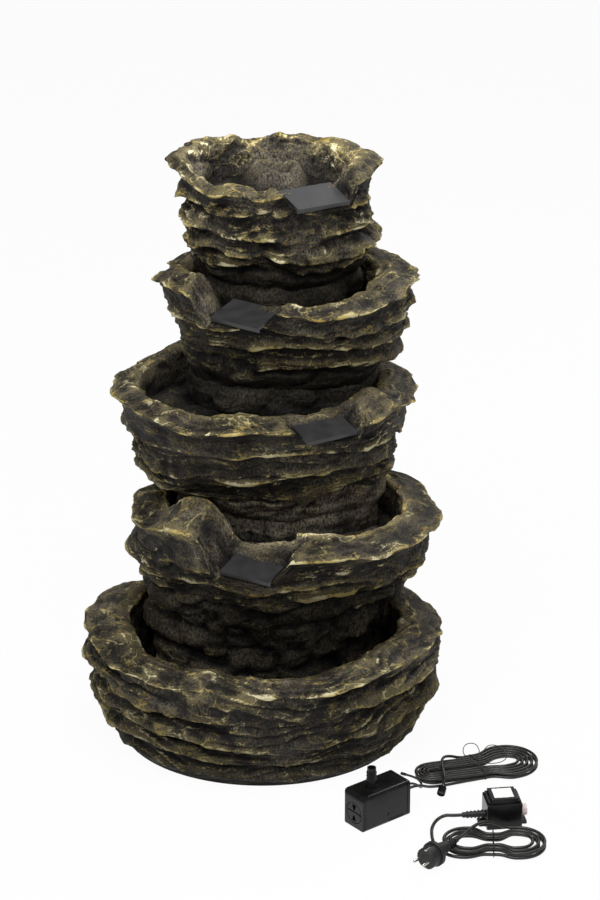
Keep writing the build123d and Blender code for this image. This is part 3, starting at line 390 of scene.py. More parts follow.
# Castings, repeated from the construction in millimetres: a strata row is a height, then the reach to the
# left, right, front and back. The foot leads, then crest and undercut take turns up to the rim's outer edge
waves = {"ripple": 11.0, "rimSway": 8.0, "calmRows": 4, "slabPhase": 0.9,
         "rippleWaves": ((2, 0.8, 0.6), (3, 1.0, 1.0), (5, 0.8, 1.7), (8, 0.7, 2.3)),
         "swayWaves": ((1, 0.6, 0.5), (2, 1.0, 0.7), (3, 0.8, 1.0), (5, 0.6, 1.3), (7, 0.4, 1.9))}
shell = {"wall": 15.0, "slope": 20.0, "margin": 4.0, "fall": 0.8, "crestRise": 12.0, "crestShare": 0.7,
         "lipRise": 4.0, "chinSpread": 26.0, "chinInset": 20.0, "jambSpread": 17.0, "centre": 0.02}
spoutForm = {"width": 96.0, "slope": 12.0, "inset": 13.0, "back": 105.0, "front": 45.0, "overhang": 9.0,
             "drip": 6.0, "steep": 1.5, "under": 0.6}
hoseHole = {"x": 20.0, "y": 100.0, "radius": 14.0}
# Each casting's front, pool and cave values are painted shade on its outer faces, in its pool and on the low faces
# that stand in the pool below; a negative value paints light there instead
castings = [
    {"node": "base_basin", "seat": 0, "floor": 30, "plateau": None, "phase": 0.4, "seed": 11, "sway": 16,
     "cave": 0, "frontShading": 0.42, "poolShading": 0.8, "caveShading": 0.0,
     "rim": (75, 70, 60, 40), "pool": (229, 226, 228, 219), "spout": None, "jamb": None,
     "strata": [(0, 258, 246, 238, 232), (22, 277, 267, 258, 246), (46, 272, 262, 254, 243),
                (60, 294, 285, 274, 256), (88, 286, 277, 266, 250), (103, 313, 304, 292, 268),
                (141, 297, 288, 278, 256), (157, 316, 309, 302, 271), (184, 305, 299, 294, 263),
                (204, 315, 308, 303, 272)]},
    {"node": "bowl_lower", "seat": 30, "floor": 325, "plateau": 375, "phase": 1.1, "seed": 23, "sway": 16,
     "cave": 245, "frontShading": 0.26, "poolShading": -2.6, "caveShading": 0.2,
     "rim": (60, 62, 92, 40), "pool": (171, 238, 140, 209), "spout": (-13.8, -30.0, 363), "jamb": (-44.0, 58.0),
     "strata": [(0, 186, 186, 28, 188), (26, 194, 195, 40, 195), (66, 187, 188, 32, 190),
                (80, 198, 199, 45, 199), (124, 191, 192, 38, 194), (140, 202, 203, 50, 202),
                (184, 198, 206, 46, 200), (204, 212, 236, 62, 216), (238, 207, 244, 66, 222),
                (252, 228, 270, 92, 240), (288, 219, 264, 110, 234), (304, 240, 288, 168, 252),
                (342, 221, 281, 188, 241), (385, 236, 306, 240, 255)]},
    {"node": "bowl_middle", "seat": 405, "floor": 185, "plateau": 240, "phase": 3.0, "seed": 37, "sway": 15,
     "cave": 60, "frontShading": 0.24, "poolShading": 0.35, "caveShading": -2.8,
     "rim": (43, 60, 68, 34), "pool": (214, 197, 136, 198), "spout": (25.4, 31.0, 225), "jamb": (52.0, 27.0),
     "strata": [(0, 146, 190, 12, 176), (18, 151, 196, 24, 181), (50, 168, 200, 40, 196),
                (64, 228, 222, 66, 231), (96, 214, 211, 84, 224), (112, 234, 224, 120, 240),
                (156, 221, 219, 138, 230), (174, 245, 241, 170, 241), (203, 240, 238, 182, 236),
                (235, 264, 263, 212, 245)]},
    {"node": "bowl_upper", "seat": 645, "floor": 140, "plateau": 190, "phase": 4.9, "seed": 53, "sway": 12,
     "cave": 46, "frontShading": 0.0, "poolShading": 0.2, "caveShading": 0.3,
     "rim": (50, 70, 42, 42), "pool": (136, 186, 130, 176), "spout": (-20.6, -35.0, 177), "jamb": (-50.0, 27.0),
     "strata": [(0, 125, 186, 10, 186), (16, 129, 190, 22, 190), (34, 132, 196, 32, 196),
                (48, 144, 238, 54, 212), (78, 136, 222, 58, 205), (94, 155, 246, 90, 221),
                (124, 146, 232, 99, 211), (139, 173, 252, 132, 221), (168, 164, 244, 139, 212),
                (195, 192, 262, 180, 222)]},
    {"node": "bowl_top", "seat": 835, "floor": 150, "plateau": None, "phase": 6.8, "seed": 71, "sway": 9,
     "cave": 40, "frontShading": -0.25, "poolShading": -1.6, "caveShading": 0.1,
     "rim": (26, 40, 30, 42), "pool": (100, 122, 104, 138), "spout": (26.8, 29.0, 183), "jamb": (58.0, 15.0),
     "strata": [(0, 105, 150, 20, 165), (14, 109, 154, 30, 168), (30, 112, 160, 42, 171),
                (43, 131, 184, 63, 181), (57, 124, 170, 67, 172), (72, 138, 199, 93, 186),
                (97, 121, 167, 93, 172), (114, 139, 178, 117, 181), (148, 127, 163, 118, 170),
                (162, 141, 180, 139, 180), (180, 137, 175, 142, 175), (204, 159, 196, 165, 190)]},
]
around = 480
angles = 2 * np.pi * np.arange(around) / around
# What each stretch of a casting's section gets: the step between its rings, which of the casting's painted shadings
# it takes, and its shares of roughness, brushed paint, boulders and ledges. The cave stands in the pool below
zoneForm = {
    "outside": {"step": 2.8, "zoneShading": "frontShading", "rough": 1.0, "paint": 1.0, "boulder": 0.0, "ledge": 1.0},
    "top": {"step": 2.8, "zoneShading": None, "rough": 1.0, "paint": 1.0, "boulder": 0.0, "ledge": 0.5},
    "pool": {"step": 5.0, "zoneShading": "poolShading", "rough": 1.0, "paint": 0.7, "boulder": 0.5, "ledge": 0.7},
    "floor": {"step": 6.0, "zoneShading": "poolShading", "rough": 0.8, "paint": 0.5, "boulder": 0.5, "ledge": 0.3},
    "plinth": {"step": 5.0, "zoneShading": "poolShading", "rough": 1.0, "paint": 0.25, "boulder": 1.0, "ledge": 0.6},
    "cave": {"step": 5.0, "zoneShading": "caveShading", "rough": 1.0, "paint": 0.3, "boulder": 1.0, "ledge": 0.6},
    "shoulder": {"step": None, "zoneShading": "poolShading", "rough": 1.0, "paint": 0.0, "boulder": 1.0, "ledge": 0.6},
    "hidden": {"step": None, "zoneShading": "poolShading", "rough": 0.0, "paint": 0.0, "boulder": 0.0, "ledge": 0.0},
}
# Heights of the relief, and how it runs, in millimetres
relief = {"wander": 12.0, "chip": 4.5, "chipSharpness": 4.0, "slabRise": 0.5,
          "flare": 0.9, "flareReach": 12.0, "belly": 3.5, "bellyReach": 10.0,
          "ledge": 19.0, "ledgeDepth": 5.2, "ledgeCrest": 0.25, "ledgeRise": 1.7, "ledgeFall": 0.9,
          "ledgeMiddle": 0.45, "ledgeShare": 0.75, "ledgeSpread": 1.3, "ledgeLeast": 0.1, "bend": 40.0, "kink": 5.0,
          "lumps": 3.0, "ridges": 2.2, "ridgeSharpness": 3, "ridgeMiddle": 0.4, "grit": 0.6,
          "boulder": 20.0, "boulderPower": 0.7, "boulderGrain": (84.0, 84.0, 48.0), "boulderSeed": 90,
          "shoulder": 8.0, "groundFade": 6.0}
# Noises of the relief: their grain along X, Y and Z, and what each adds to the casting's seed. Chips and wander
# run on a circle of radius 1
rockLayers = {"wander": ((0.34, 0.34, 0.6), 0), "chip": ((0.2, 0.2, 0.3), 5),
              "bend": ((150.0, 150.0, 90.0), 20), "kink": ((34.0, 34.0, 24.0), 30),
              "strength": ((70.0, 70.0, 40.0), 40), "lumps": ((42.0, 42.0, 26.0), 50),
              "ridges": ((26.0, 26.0, 12.0), 60), "grit": ((6.0, 6.0, 5.0), 70),
              "chisel": ((34.0, 34.0, 20.0), 80), "lip": ((24.0, 24.0, 24.0), 95),
              "mound": ((40.0, 40.0, 40.0), 99)}
notchForm = {"lip": 10.0, "lipStart": 33.0, "lipWander": 6.0, "lipBlend": 5.0, "chisel": 9.0, "chiselOffset": 5.0,
             "sideGap": 0.5, "dripStart": 1.0, "leastRough": 0.45, "unbounded": 1e4, "paint": 0.45, "widen": 2}
hoseMound = {"radius": 36.0, "spread": 15.0, "height": 30.0, "share": 0.8, "uneven": 0.5, "poolStart": 1.0}
# Masks of the brush: an edge weighs neighbours that are some steps away, and paint fades towards the foot. Painted
# shade deepens over the lowest part of each casting
brush = {"edgeSteps": ((1, 0.5), (3, 0.22)), "foldSteps": 6, "foldDepth": 6.0, "roughGain": 2,
         "footBare": 5.0, "footFade": 30.0, "footShading": 0.45, "footRise": 130.0}


def layerNoise(points, rock, name):
    grain, offset = rockLayers[name]
    return rockNoise(points, grain, rock["seed"] + offset)


def grow(reach, amount):
    return tuple(side + amount for side in reach)


def waveAt(phase, parts):
    total = sum(strength for count, strength, turn in parts)
    return sum(strength * np.sin(count * angles + turn * phase) for count, strength, turn in parts) / total


def bumpAt(turn, spread):
    off = np.remainder(angles - math.radians(turn - 90) + np.pi, 2 * np.pi) - np.pi
    return np.exp(-((off / math.radians(spread)) ** 2))


def ellipse(reach, angle, bulge=0.0):
    left, right, front, back = reach
    x = (right - left) / 2 + ((right + left) / 2 + bulge) * np.cos(angle)
    y = (back - front) / 2 + ((back + front) / 2 + bulge) * np.sin(angle)
    return x, y


def ring(height, reach, bulge=0.0, lift=0.0):
    x, y = ellipse(reach, angles, bulge)
    return np.stack([x, y, height + lift + np.zeros(around)], axis=1)


def holeRing(height):
    x, y, radius = hoseHole["x"], hoseHole["y"], hoseHole["radius"]
    return ring(height, (radius - x, radius + x, radius - y, radius + y))


def centreRing(height, reach):
    return ring(height, tuple(shell["centre"] * side for side in reach))


def rimPoint(reach, turn):
    return ellipse(reach, math.radians(turn - 90))


# A row's bulge and lift all round: waves as in the construction, then finer wander and broken ends by slab
def rowWaves(rock, number):
    slab = number // 2
    calm = min(1.0, number / waves["calmRows"])
    phase = rock["phase"] + waves["slabPhase"] * slab
    side = calm if number % 2 else -calm
    spots = np.stack([np.cos(angles), np.sin(angles), np.full(around, relief["slabRise"] * slab)], axis=1)
    broken = np.tanh(relief["chipSharpness"] * layerNoise(spots, rock, "chip"))
    bulge = side * (waves["ripple"] * waveAt(phase, waves["rippleWaves"]) + relief["chip"] * broken)
    swing = waves["rimSway"] if number >= len(rock["strata"]) - 2 else rock["sway"] * calm
    lift = swing * waveAt(phase, waves["swayWaves"])
    lift = lift + calm * relief["wander"] * layerNoise(spots, rock, "wander")
    return bulge, lift


# The section of a casting as a closed run of rings, each with the zone that starts there
def castingPath(rock, nextFoot):
    seat = rock["seat"]
    rows = rock["strata"]
    last = len(rows) - 1
    rimReach = rows[-1][1:]
    foot = grow(rows[0][1:], -shell["wall"])
    jamb = rock["jamb"][1] * bumpAt(rock["jamb"][0], shell["jambSpread"]) if rock["jamb"] else 0.0
    path = []
    top = seat + (rock["plateau"] or rock["floor"])
    under = seat + rock["floor"] - shell["wall"]
    if rock["node"] == "base_basin":
        path.append((centreRing(seat, rimReach), "hidden"))
    else:
        path.append((holeRing(top), "hidden"))
        path.append((holeRing(top - shell["wall"]), "hidden"))
        inside = foot
        if nextFoot:
            inside = grow(nextFoot, shell["margin"] - shell["wall"])
            path.append((ring(top - shell["wall"], inside), "hidden"))
        path.append((ring(under, inside), "hidden"))
        path.append((ring(under - shell["slope"], foot), "hidden"))
        path.append((ring(seat, foot), "hidden"))
    for number, (height, *reach) in enumerate(rows):
        bulge, lift = rowWaves(rock, number)
        if rock["spout"] and number == last - 1:
            turn = rock["spout"][0]
            away = math.dist(rimPoint(rimReach, turn), rimPoint(reach, turn)) - shell["chinInset"]
            bulge = bulge + max(away, 0) * bumpAt(turn, shell["chinSpread"])
        if number == last:
            lift = lift + jamb / 2
        zone = "top" if number == last else "cave" if height < rock["cave"] else "outside"
        path.append((ring(seat + height, reach, bulge, lift), zone))
    bulge, lift = rowWaves(rock, last)
    rimTop = seat + rows[-1][0]
    crest = tuple(a - shell["crestShare"] * b for a, b in zip(rimReach, rock["rim"]))
    inner = tuple(a - b for a, b in zip(rimReach, rock["rim"]))
    path.append((ring(rimTop + shell["crestRise"], crest, bulge, lift + jamb), "top"))
    path.append((ring(rimTop + shell["lipRise"], inner, bulge / 2, lift + jamb), "pool"))
    path.append((ring(seat + rock["floor"], rock["pool"]), "floor"))
    if nextFoot:
        step = grow(nextFoot, shell["margin"])
        path.append((ring(seat + rock["floor"] + shell["fall"], step), "plinth"))
        path.append((ring(top, step), "shoulder"))
        path.append((ring(top, grow(step, -relief["shoulder"])), "hidden"))
    if rock["node"] == "base_basin":
        path.append((centreRing(seat + rock["floor"], rock["pool"]), "hidden"))
    else:
        path.append((holeRing(top), "hidden"))
    return path


def zoneValues(rock, zone):
    form = zoneForm[zone]
    zoneShading = rock[form["zoneShading"]] if form["zoneShading"] else 0.0
    return np.array([zoneShading, form["rough"], form["paint"], form["boulder"], form["ledge"]])


# Rings between the path's rings. An undercut stays back and flares out at its crest, a face swells a little
def castingGrid(rock, path):
    grid = []
    zones = []
    for (low, zone), (high, nextZone) in zip(path, path[1:]):
        step = zoneForm[zone]["step"]
        stepped = zone in ("outside", "cave")
        start = zoneValues(rock, zone)
        end = zoneValues(rock, nextZone)
        count = max(2, int(np.linalg.norm(high - low, axis=1).mean() / step)) if step else 1
        outward = np.hypot(high[:, 0], high[:, 1]) - np.hypot(low[:, 0], low[:, 1])
        power = 1 + relief["flare"] * np.clip(outward / relief["flareReach"], 0, 1) * stepped
        for k in range(count):
            share = k / count
            eased = (share ** power)[:, None]
            flat = low[:, :2] + (high[:, :2] - low[:, :2]) * eased
            if stepped:
                inward = np.clip(-outward / relief["bellyReach"], 0, 1)
                swell = relief["belly"] * math.sin(math.pi * share) * inward
                flat = flat + swell[:, None] * flat / np.linalg.norm(flat, axis=1, keepdims=True)
            grid.append(np.hstack([flat, low[:, 2:] + (high[:, 2:] - low[:, 2:]) * share]))
            zones.append(start + (end - start) * share)
    grid.append(path[-1][0])
    zones.append(end)
    return np.array(grid), np.array(zones)


def gridNormals(grid):
    across = np.roll(grid, -2, axis=1) - np.roll(grid, 2, axis=1)
    along = np.gradient(grid, axis=0)
    normal = np.cross(across, along)
    return normal / np.maximum(np.linalg.norm(normal, axis=2, keepdims=True), 1e-9)


# Ledge: nothing in a crevice, full at a crest low down, then a long slope back
def ledge(level):
    share = level - np.floor(level)
    crest = relief["ledgeCrest"]
    rise = (share / crest) ** relief["ledgeRise"]
    fall = ((1 - share) / (1 - crest)) ** relief["ledgeFall"]
    return np.where(share < crest, rise, fall)


# Relief on top of the slabs: thin ledges that run along the section and die out, lumps, ridges and grit
def rockDepth(points, level, ledges, rock):
    bend = relief["bend"] * layerNoise(points, rock, "bend") + relief["kink"] * layerNoise(points, rock, "kink")
    strength = relief["ledgeShare"] + relief["ledgeSpread"] * layerNoise(points, rock, "strength")
    strength = np.clip(strength, relief["ledgeLeast"], 1.0)
    steps = (ledge((level + bend) / relief["ledge"]) - relief["ledgeMiddle"]) * strength * ledges
    sharp = 1 - np.abs(layerNoise(points, rock, "ridges"))
    ridges = sharp ** relief["ridgeSharpness"] - relief["ridgeMiddle"]
    depth = relief["ledgeDepth"] * steps + relief["lumps"] * layerNoise(points, rock, "lumps")
    return depth + relief["ridges"] * ridges + relief["grit"] * layerNoise(points, rock, "grit")


# The highest that rock may stand where a spout's notch is cut, with rough sides and a lip at the rear
def spoutLimit(points, rock):
    turn, aim, plateHeight = rock["spout"]
    edge = rimPoint(grow(rock["strata"][-1][1:], -spoutForm["inset"]), turn)
    flow = math.radians(aim - 90)
    dx = points[..., 0] - edge[0]
    dy = points[..., 1] - edge[1]
    along = dx * math.cos(flow) + dy * math.sin(flow)
    side = -dx * math.sin(flow) + dy * math.cos(flow)
    fall = along * math.tan(math.radians(spoutForm["slope"]))
    floor = rock["seat"] + plateHeight - spoutForm["under"] - fall
    floor = floor - np.where(along > spoutForm["overhang"] - notchForm["dripStart"], spoutForm["drip"], 0)
    behind = -along - notchForm["lipStart"] + notchForm["lipWander"] * layerNoise(points, rock, "lip")
    floor = floor + notchForm["lip"] * np.clip(behind / notchForm["lipBlend"], 0, 1)
    chisel = notchForm["chisel"] * layerNoise(points, rock, "chisel") - notchForm["chiselOffset"]
    outside = np.abs(side) - spoutForm["width"] / 2 - notchForm["sideGap"] + np.minimum(chisel, 0)
    inNotch = (along > -spoutForm["back"]) & (along < spoutForm["front"])
    return np.where(inNotch, floor + spoutForm["steep"] * np.maximum(outside, 0), notchForm["unbounded"])


# A ring of rock in the top pool that hides the hose's end from the front
def moundLift(points, rock):
    away = np.hypot(points[..., 0] - hoseHole["x"], points[..., 1] - hoseHole["y"])
    swell = np.exp(-((away - hoseMound["radius"]) / hoseMound["spread"]) ** 2)
    uneven = hoseMound["share"] + hoseMound["uneven"] * layerNoise(points, rock, "mound")
    inPool = points[..., 2] > rock["seat"] + rock["floor"] - hoseMound["poolStart"]
    return np.where(inPool, hoseMound["height"] * swell * uneven, 0)


# The surface of a casting: its rings, roughened, with the spout's notch cut in
def castingSurface(rock, nextFoot):
    grid, zones = castingGrid(rock, castingPath(rock, nextFoot))
    zoneShading, rough, paint, boulderShare, ledges = (zones[:, k:k + 1] for k in range(zones.shape[1]))
    if rock["node"] == "bowl_top":
        grid[..., 2] += moundLift(grid, rock)
    steps = np.linalg.norm(np.diff(grid, axis=0), axis=2).mean(axis=1)
    level = np.concatenate([[0], steps.cumsum()])[:, None]
    boulders = np.abs(rockNoise(grid, relief["boulderGrain"], relief["boulderSeed"])) ** relief["boulderPower"]
    depth = rockDepth(grid, level, ledges, rock) + relief["boulder"] * boulders * boulderShare
    notchable = rough > notchForm["leastRough"]
    rough = rough * np.clip((grid[..., 2] - castings[0]["seat"]) / relief["groundFade"], 0, 1)
    grid = grid + gridNormals(grid) * (depth * rough)[..., None]
    if rock["spout"]:
        limit = spoutLimit(grid, rock)
        notched = notchable & (grid[..., 2] > limit)
        grid[..., 2] = np.where(notched, limit, grid[..., 2])
        for axis in (0, 1):
            beside = [np.roll(notched, away, axis) for away in (notchForm["widen"], -notchForm["widen"])]
            notched = notched | beside[0] | beside[1]
        paint = paint * np.where(notched, notchForm["paint"], 1)
    return grid, zoneShading, rough, paint


# How far each point stands out from its neighbours a few steps away
def standingOut(grid, normal, steps):
    index = np.arange(len(grid))
    near = np.roll(grid, steps, axis=1) + np.roll(grid, -steps, axis=1)
    near = near + grid[np.clip(index - steps, 0, len(grid) - 1)] + grid[np.clip(index + steps, 0, len(grid) - 1)]
    return ((grid - near / 4) * normal).sum(axis=2)


# What the stone's paint reads at each point: sharp edges, broad folds, painted shade and light by zone and towards
# the foot, and the brush's share
def paintMasks(rock, grid, zoneShading, rough, paint):
    normal = gridNormals(grid)
    height = grid[..., 2] - rock["seat"]
    exposed = np.minimum(rough * brush["roughGain"], 1)
    paint = paint * np.clip((height - brush["footBare"]) / brush["footFade"], 0, 1)
    crest = sum(standingOut(grid, normal, steps) * weight for steps, weight in brush["edgeSteps"])
    crest = np.where(crest > 0, crest * paint, crest) * exposed
    fold = np.clip(standingOut(grid, normal, brush["foldSteps"]) / brush["foldDepth"], -1, 1) * exposed
    fold = np.where(fold > 0, fold * paint, fold)
    # Painted shade: the pool mask takes each zone's painted shade and light and adds more shade towards the foot
    low = np.clip(1 - height / brush["footRise"], 0, 1)
    return {"crest": crest, "fold": fold, "pool": zoneShading + brush["footShading"] * low, "paint": paint}


def castingMesh(rock, nextFoot):
    grid, *coat = castingSurface(rock, nextFoot)
    index = np.arange(len(grid) * around).reshape(len(grid), around)
    beside = np.roll(index, -1, axis=1)
    quads = np.stack([index[:-1], beside[:-1], beside[1:], index[1:]], axis=2).reshape(-1, 4).tolist()
    if rock["node"] == "base_basin":
        quads += [index[0][::-1].tolist(), index[-1].tolist()]
    mesh = bpy.data.meshes.new(rock["node"] + "_rock")
    mesh.from_pydata((grid.reshape(-1, 3) / 1000).tolist(), [], quads)
    mesh.polygons.foreach_set("use_smooth", np.ones(len(mesh.polygons), dtype=bool))
    for name, values in paintMasks(rock, grid, *coat).items():
        attribute = mesh.attributes.new(name, "FLOAT", "POINT")
        attribute.data.foreach_set("value", values.reshape(-1).astype(np.float32))
    mesh.update()
    return mesh


# Resin cast stone: moulded rough and matt, with painted shade near black in its crevices and folds, then dry-brushed
# twice: an olive dust on what stands out, which also lies on faces that look up as painted light from above, and pale
# ochre on the sharpest edges. Sizes in millimetres, and a range is from and to
stoneLook = {
    "patch": 80.0, "wash": ((0.32, "#2c2925"), (0.5, "#48433b"), (0.68, "#6a6357")),
    "stroke": 3.2, "strokeSquash": 0.5, "streaks": ((0.36, "#5c5c5c"), (0.62, "#ffffff")),
    "speckle": 4.0, "speckleBite": 0.65, "spots": (0.35, 0.7, -0.5, 0.42),
    "drift": 45.0, "uneven": (0.3, 0.7, 0.3, 1.3), "topLightAndFold": 0.2,
    "dustAndTopLight": "#746a48", "dustAndTopLightMask": ((0.06, 0.0), (0.8, 0.6)), "lineMask": ((0.55, 0.0), (1.0, 0.9)),
    "golds": ((0.36, "#927a38"), (0.52, "#ac9c62"), (0.66, "#cdc4a0")),
    "slab": 70.0, "slabSquash": 2.3, "slabWarp": 0.5, "slabEdge": 0.5, "slabStep": (0.47, 0.51, 0.0, 1.0),
    "hair": (0.0, 0.018, 0.9, 0.0), "lit": (-0.35, 0.35, 0.0, 1.0),
    "creviceShade": (-0.9, 0.05, 0.35, 1.0), "foldShade": (-0.8, 0.5, 0.25, 1.1), "paintedShading": -0.75,
    "bump": 0.7, "slabDepth": 4.0, "strokeDepth": 2.2,
}
stoneRange = {name: dict(zip(("From Min", "From Max", "To Min", "To Max"), stoneLook[name]))
              for name in ("spots", "uneven", "slabStep", "hair", "lit", "creviceShade", "foldShade")}
stone, tree, shader = startMaterial("dry-brushed cast stone", Roughness=0.7, Specular_IOR_Level=0.2)
place = addNode(tree, "ShaderNodeTexCoord").outputs["Object"]
crest, fold, pool, paint = [addNode(tree, "ShaderNodeAttribute", attribute_name=name).outputs["Fac"]
                            for name in ("crest", "fold", "pool", "paint")]
patches = addNode(tree, "ShaderNodeTexNoise", {"Vector": place, "Scale": perMetre(stoneLook["patch"]), "Detail": 6.0})
wash = setStops(addNode(tree, "ShaderNodeValToRGB", {"Fac": patches.outputs["Fac"]}), stoneLook["wash"])
# Speckle of the brush, 4 mm across, and short strokes down the fall of each face, 3 mm wide
speckle = addNode(tree, "ShaderNodeTexNoise", {"Vector": place, "Scale": perMetre(stoneLook["speckle"]),
                                               "Detail": 4.0, "Roughness": stoneLook["speckleBite"]})
squeezed = addNode(tree, "ShaderNodeMapping", {"Vector": place, "Scale": (1.0, 1.0, stoneLook["strokeSquash"])})
strokes = addNode(tree, "ShaderNodeTexNoise", {"Vector": squeezed.outputs[0], "Scale": perMetre(stoneLook["stroke"]),
                                               "Detail": 4.0})
streaks = setStops(addNode(tree, "ShaderNodeValToRGB", {"Fac": strokes.outputs["Fac"]}), stoneLook["streaks"])
washed = addNode(tree, "ShaderNodeMix", {"Factor": 1.0, 6: wash.outputs[0], 7: streaks.outputs[0]},
                 data_type="RGBA", blend_type="MULTIPLY")
drift = addNode(tree, "ShaderNodeTexNoise", {"Vector": place, "Scale": perMetre(stoneLook["drift"]), "Detail": 4.0})
uneven = addNode(tree, "ShaderNodeMapRange", {"Value": drift.outputs["Fac"], **stoneRange["uneven"]})
spots = addNode(tree, "ShaderNodeMapRange", {"Value": speckle.outputs["Fac"], **stoneRange["spots"]})
normal = addNode(tree, "ShaderNodeSeparateXYZ", {0: addNode(tree, "ShaderNodeNewGeometry").outputs["Normal"]})
# Faces that look up take the olive dust too, as painted light from above, besides the dry-brushed dust on what stands
# out
topLightAndFold = addNode(tree, "ShaderNodeMath", {0: normal.outputs["Z"], 1: stoneLook["topLightAndFold"], 2: fold},
                 operation="MULTIPLY_ADD")
raisedAndTopLit = addNode(tree, "ShaderNodeMath", {0: topLightAndFold.outputs[0], 1: uneven.outputs[0], 2: spots.outputs[0]},
                 operation="MULTIPLY_ADD")
dustAndTopLight = setStops(addNode(tree, "ShaderNodeValToRGB", {"Fac": raisedAndTopLit.outputs[0]}), stoneLook["dustAndTopLightMask"])
dustedAndTopLit = addNode(tree, "ShaderNodeMix", {"Factor": dustAndTopLight.outputs[0], 6: washed.outputs[2],
                                         7: hexColour(stoneLook["dustAndTopLight"])}, data_type="RGBA")
sharp = addNode(tree, "ShaderNodeMath", {0: crest, 1: uneven.outputs[0], 2: spots.outputs[0]},
                operation="MULTIPLY_ADD")
line = setStops(addNode(tree, "ShaderNodeValToRGB", {"Fac": sharp.outputs[0]}), stoneLook["lineMask"])
golds = setStops(addNode(tree, "ShaderNodeValToRGB", {"Fac": drift.outputs["Fac"]}), stoneLook["golds"])
# Slab edges too thin to model: level lines, 2.5 mm wide, of a field that lies flat, 70 mm long and 30 mm high
flattened = addNode(tree, "ShaderNodeMapping", {"Vector": place, "Scale": (1.0, 1.0, stoneLook["slabSquash"])})
slabs = addNode(tree, "ShaderNodeTexNoise", {"Vector": flattened.outputs[0], "Scale": perMetre(stoneLook["slab"]),
                                             "Detail": 4.0, "Distortion": stoneLook["slabWarp"]})
off = addNode(tree, "ShaderNodeMath", {0: slabs.outputs["Fac"], 1: stoneLook["slabEdge"]}, operation="SUBTRACT")
off = addNode(tree, "ShaderNodeMath", {0: off.outputs[0]}, operation="ABSOLUTE")
hair = addNode(tree, "ShaderNodeMapRange", {"Value": off.outputs[0], **stoneRange["hair"]})
lit = addNode(tree, "ShaderNodeMapRange", {"Value": raisedAndTopLit.outputs[0], **stoneRange["lit"]})
hair = addNode(tree, "ShaderNodeMath", {0: hair.outputs[0], 1: lit.outputs[0]}, operation="MULTIPLY")
hair = addNode(tree, "ShaderNodeMath", {0: hair.outputs[0], 1: paint}, operation="MULTIPLY")
brushed = addNode(tree, "ShaderNodeMath", {0: hair.outputs[0], 1: line.outputs[0]}, operation="MAXIMUM")
painted = addNode(tree, "ShaderNodeMix", {"Factor": brushed.outputs[0], 6: dustedAndTopLit.outputs[2], 7: golds.outputs[0]},
                  data_type="RGBA")
# Painted shade in crevices and folds, a little painted light on the rounds of folds, and painted shade by zone and
# towards the foot from the pool mask, turned to painted light where a casting's value is negative
creviceShade = addNode(tree, "ShaderNodeMapRange", {"Value": crest, **stoneRange["creviceShade"]})
foldShade = addNode(tree, "ShaderNodeMapRange", {"Value": fold, **stoneRange["foldShade"]})
shade = addNode(tree, "ShaderNodeMath", {0: creviceShade.outputs[0], 1: foldShade.outputs[0]}, operation="MULTIPLY")
# Painted shade from the pool mask, darker in pools, caves and towards the foot, and painted light where a casting's
# value is negative
paintedShading = addNode(tree, "ShaderNodeMath", {0: pool, 1: stoneLook["paintedShading"], 2: 1.0}, operation="MULTIPLY_ADD")
shade = addNode(tree, "ShaderNodeMath", {0: shade.outputs[0], 1: paintedShading.outputs[0]}, operation="MULTIPLY")
final = addNode(tree, "ShaderNodeMix", {"Factor": 1.0, 6: painted.outputs[2], 7: shade.outputs[0]},
                data_type="RGBA", blend_type="MULTIPLY")
tree.links.new(final.outputs[2], shader.inputs["Base Color"])
step = addNode(tree, "ShaderNodeMapRange", {"Value": slabs.outputs["Fac"], **stoneRange["slabStep"]})
bump = addNode(tree, "ShaderNodeBump", {"Height": step.outputs[0], "Strength": stoneLook["bump"],
                                        "Distance": stoneLook["slabDepth"] / 1000})
bump = addNode(tree, "ShaderNodeBump", {"Height": strokes.outputs["Fac"], "Strength": stoneLook["bump"],
                                        "Distance": stoneLook["strokeDepth"] / 1000,
                                        "Normal": bump.outputs["Normal"]})
tree.links.new(bump.outputs["Normal"], shader.inputs["Normal"])

for number, rock in enumerate(castings):
    nextFoot = castings[number + 1]["strata"][0][1:] if rock["plateau"] else None
    mesh = castingMesh(rock, nextFoot)
    mesh.materials.append(stone)
    piece = link(rock["node"] + "_rock", mesh)
    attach(piece, "fountain")
    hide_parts(rock["node"])
    print("casting", rock["node"], 2 * len(mesh.polygons), "triangles")

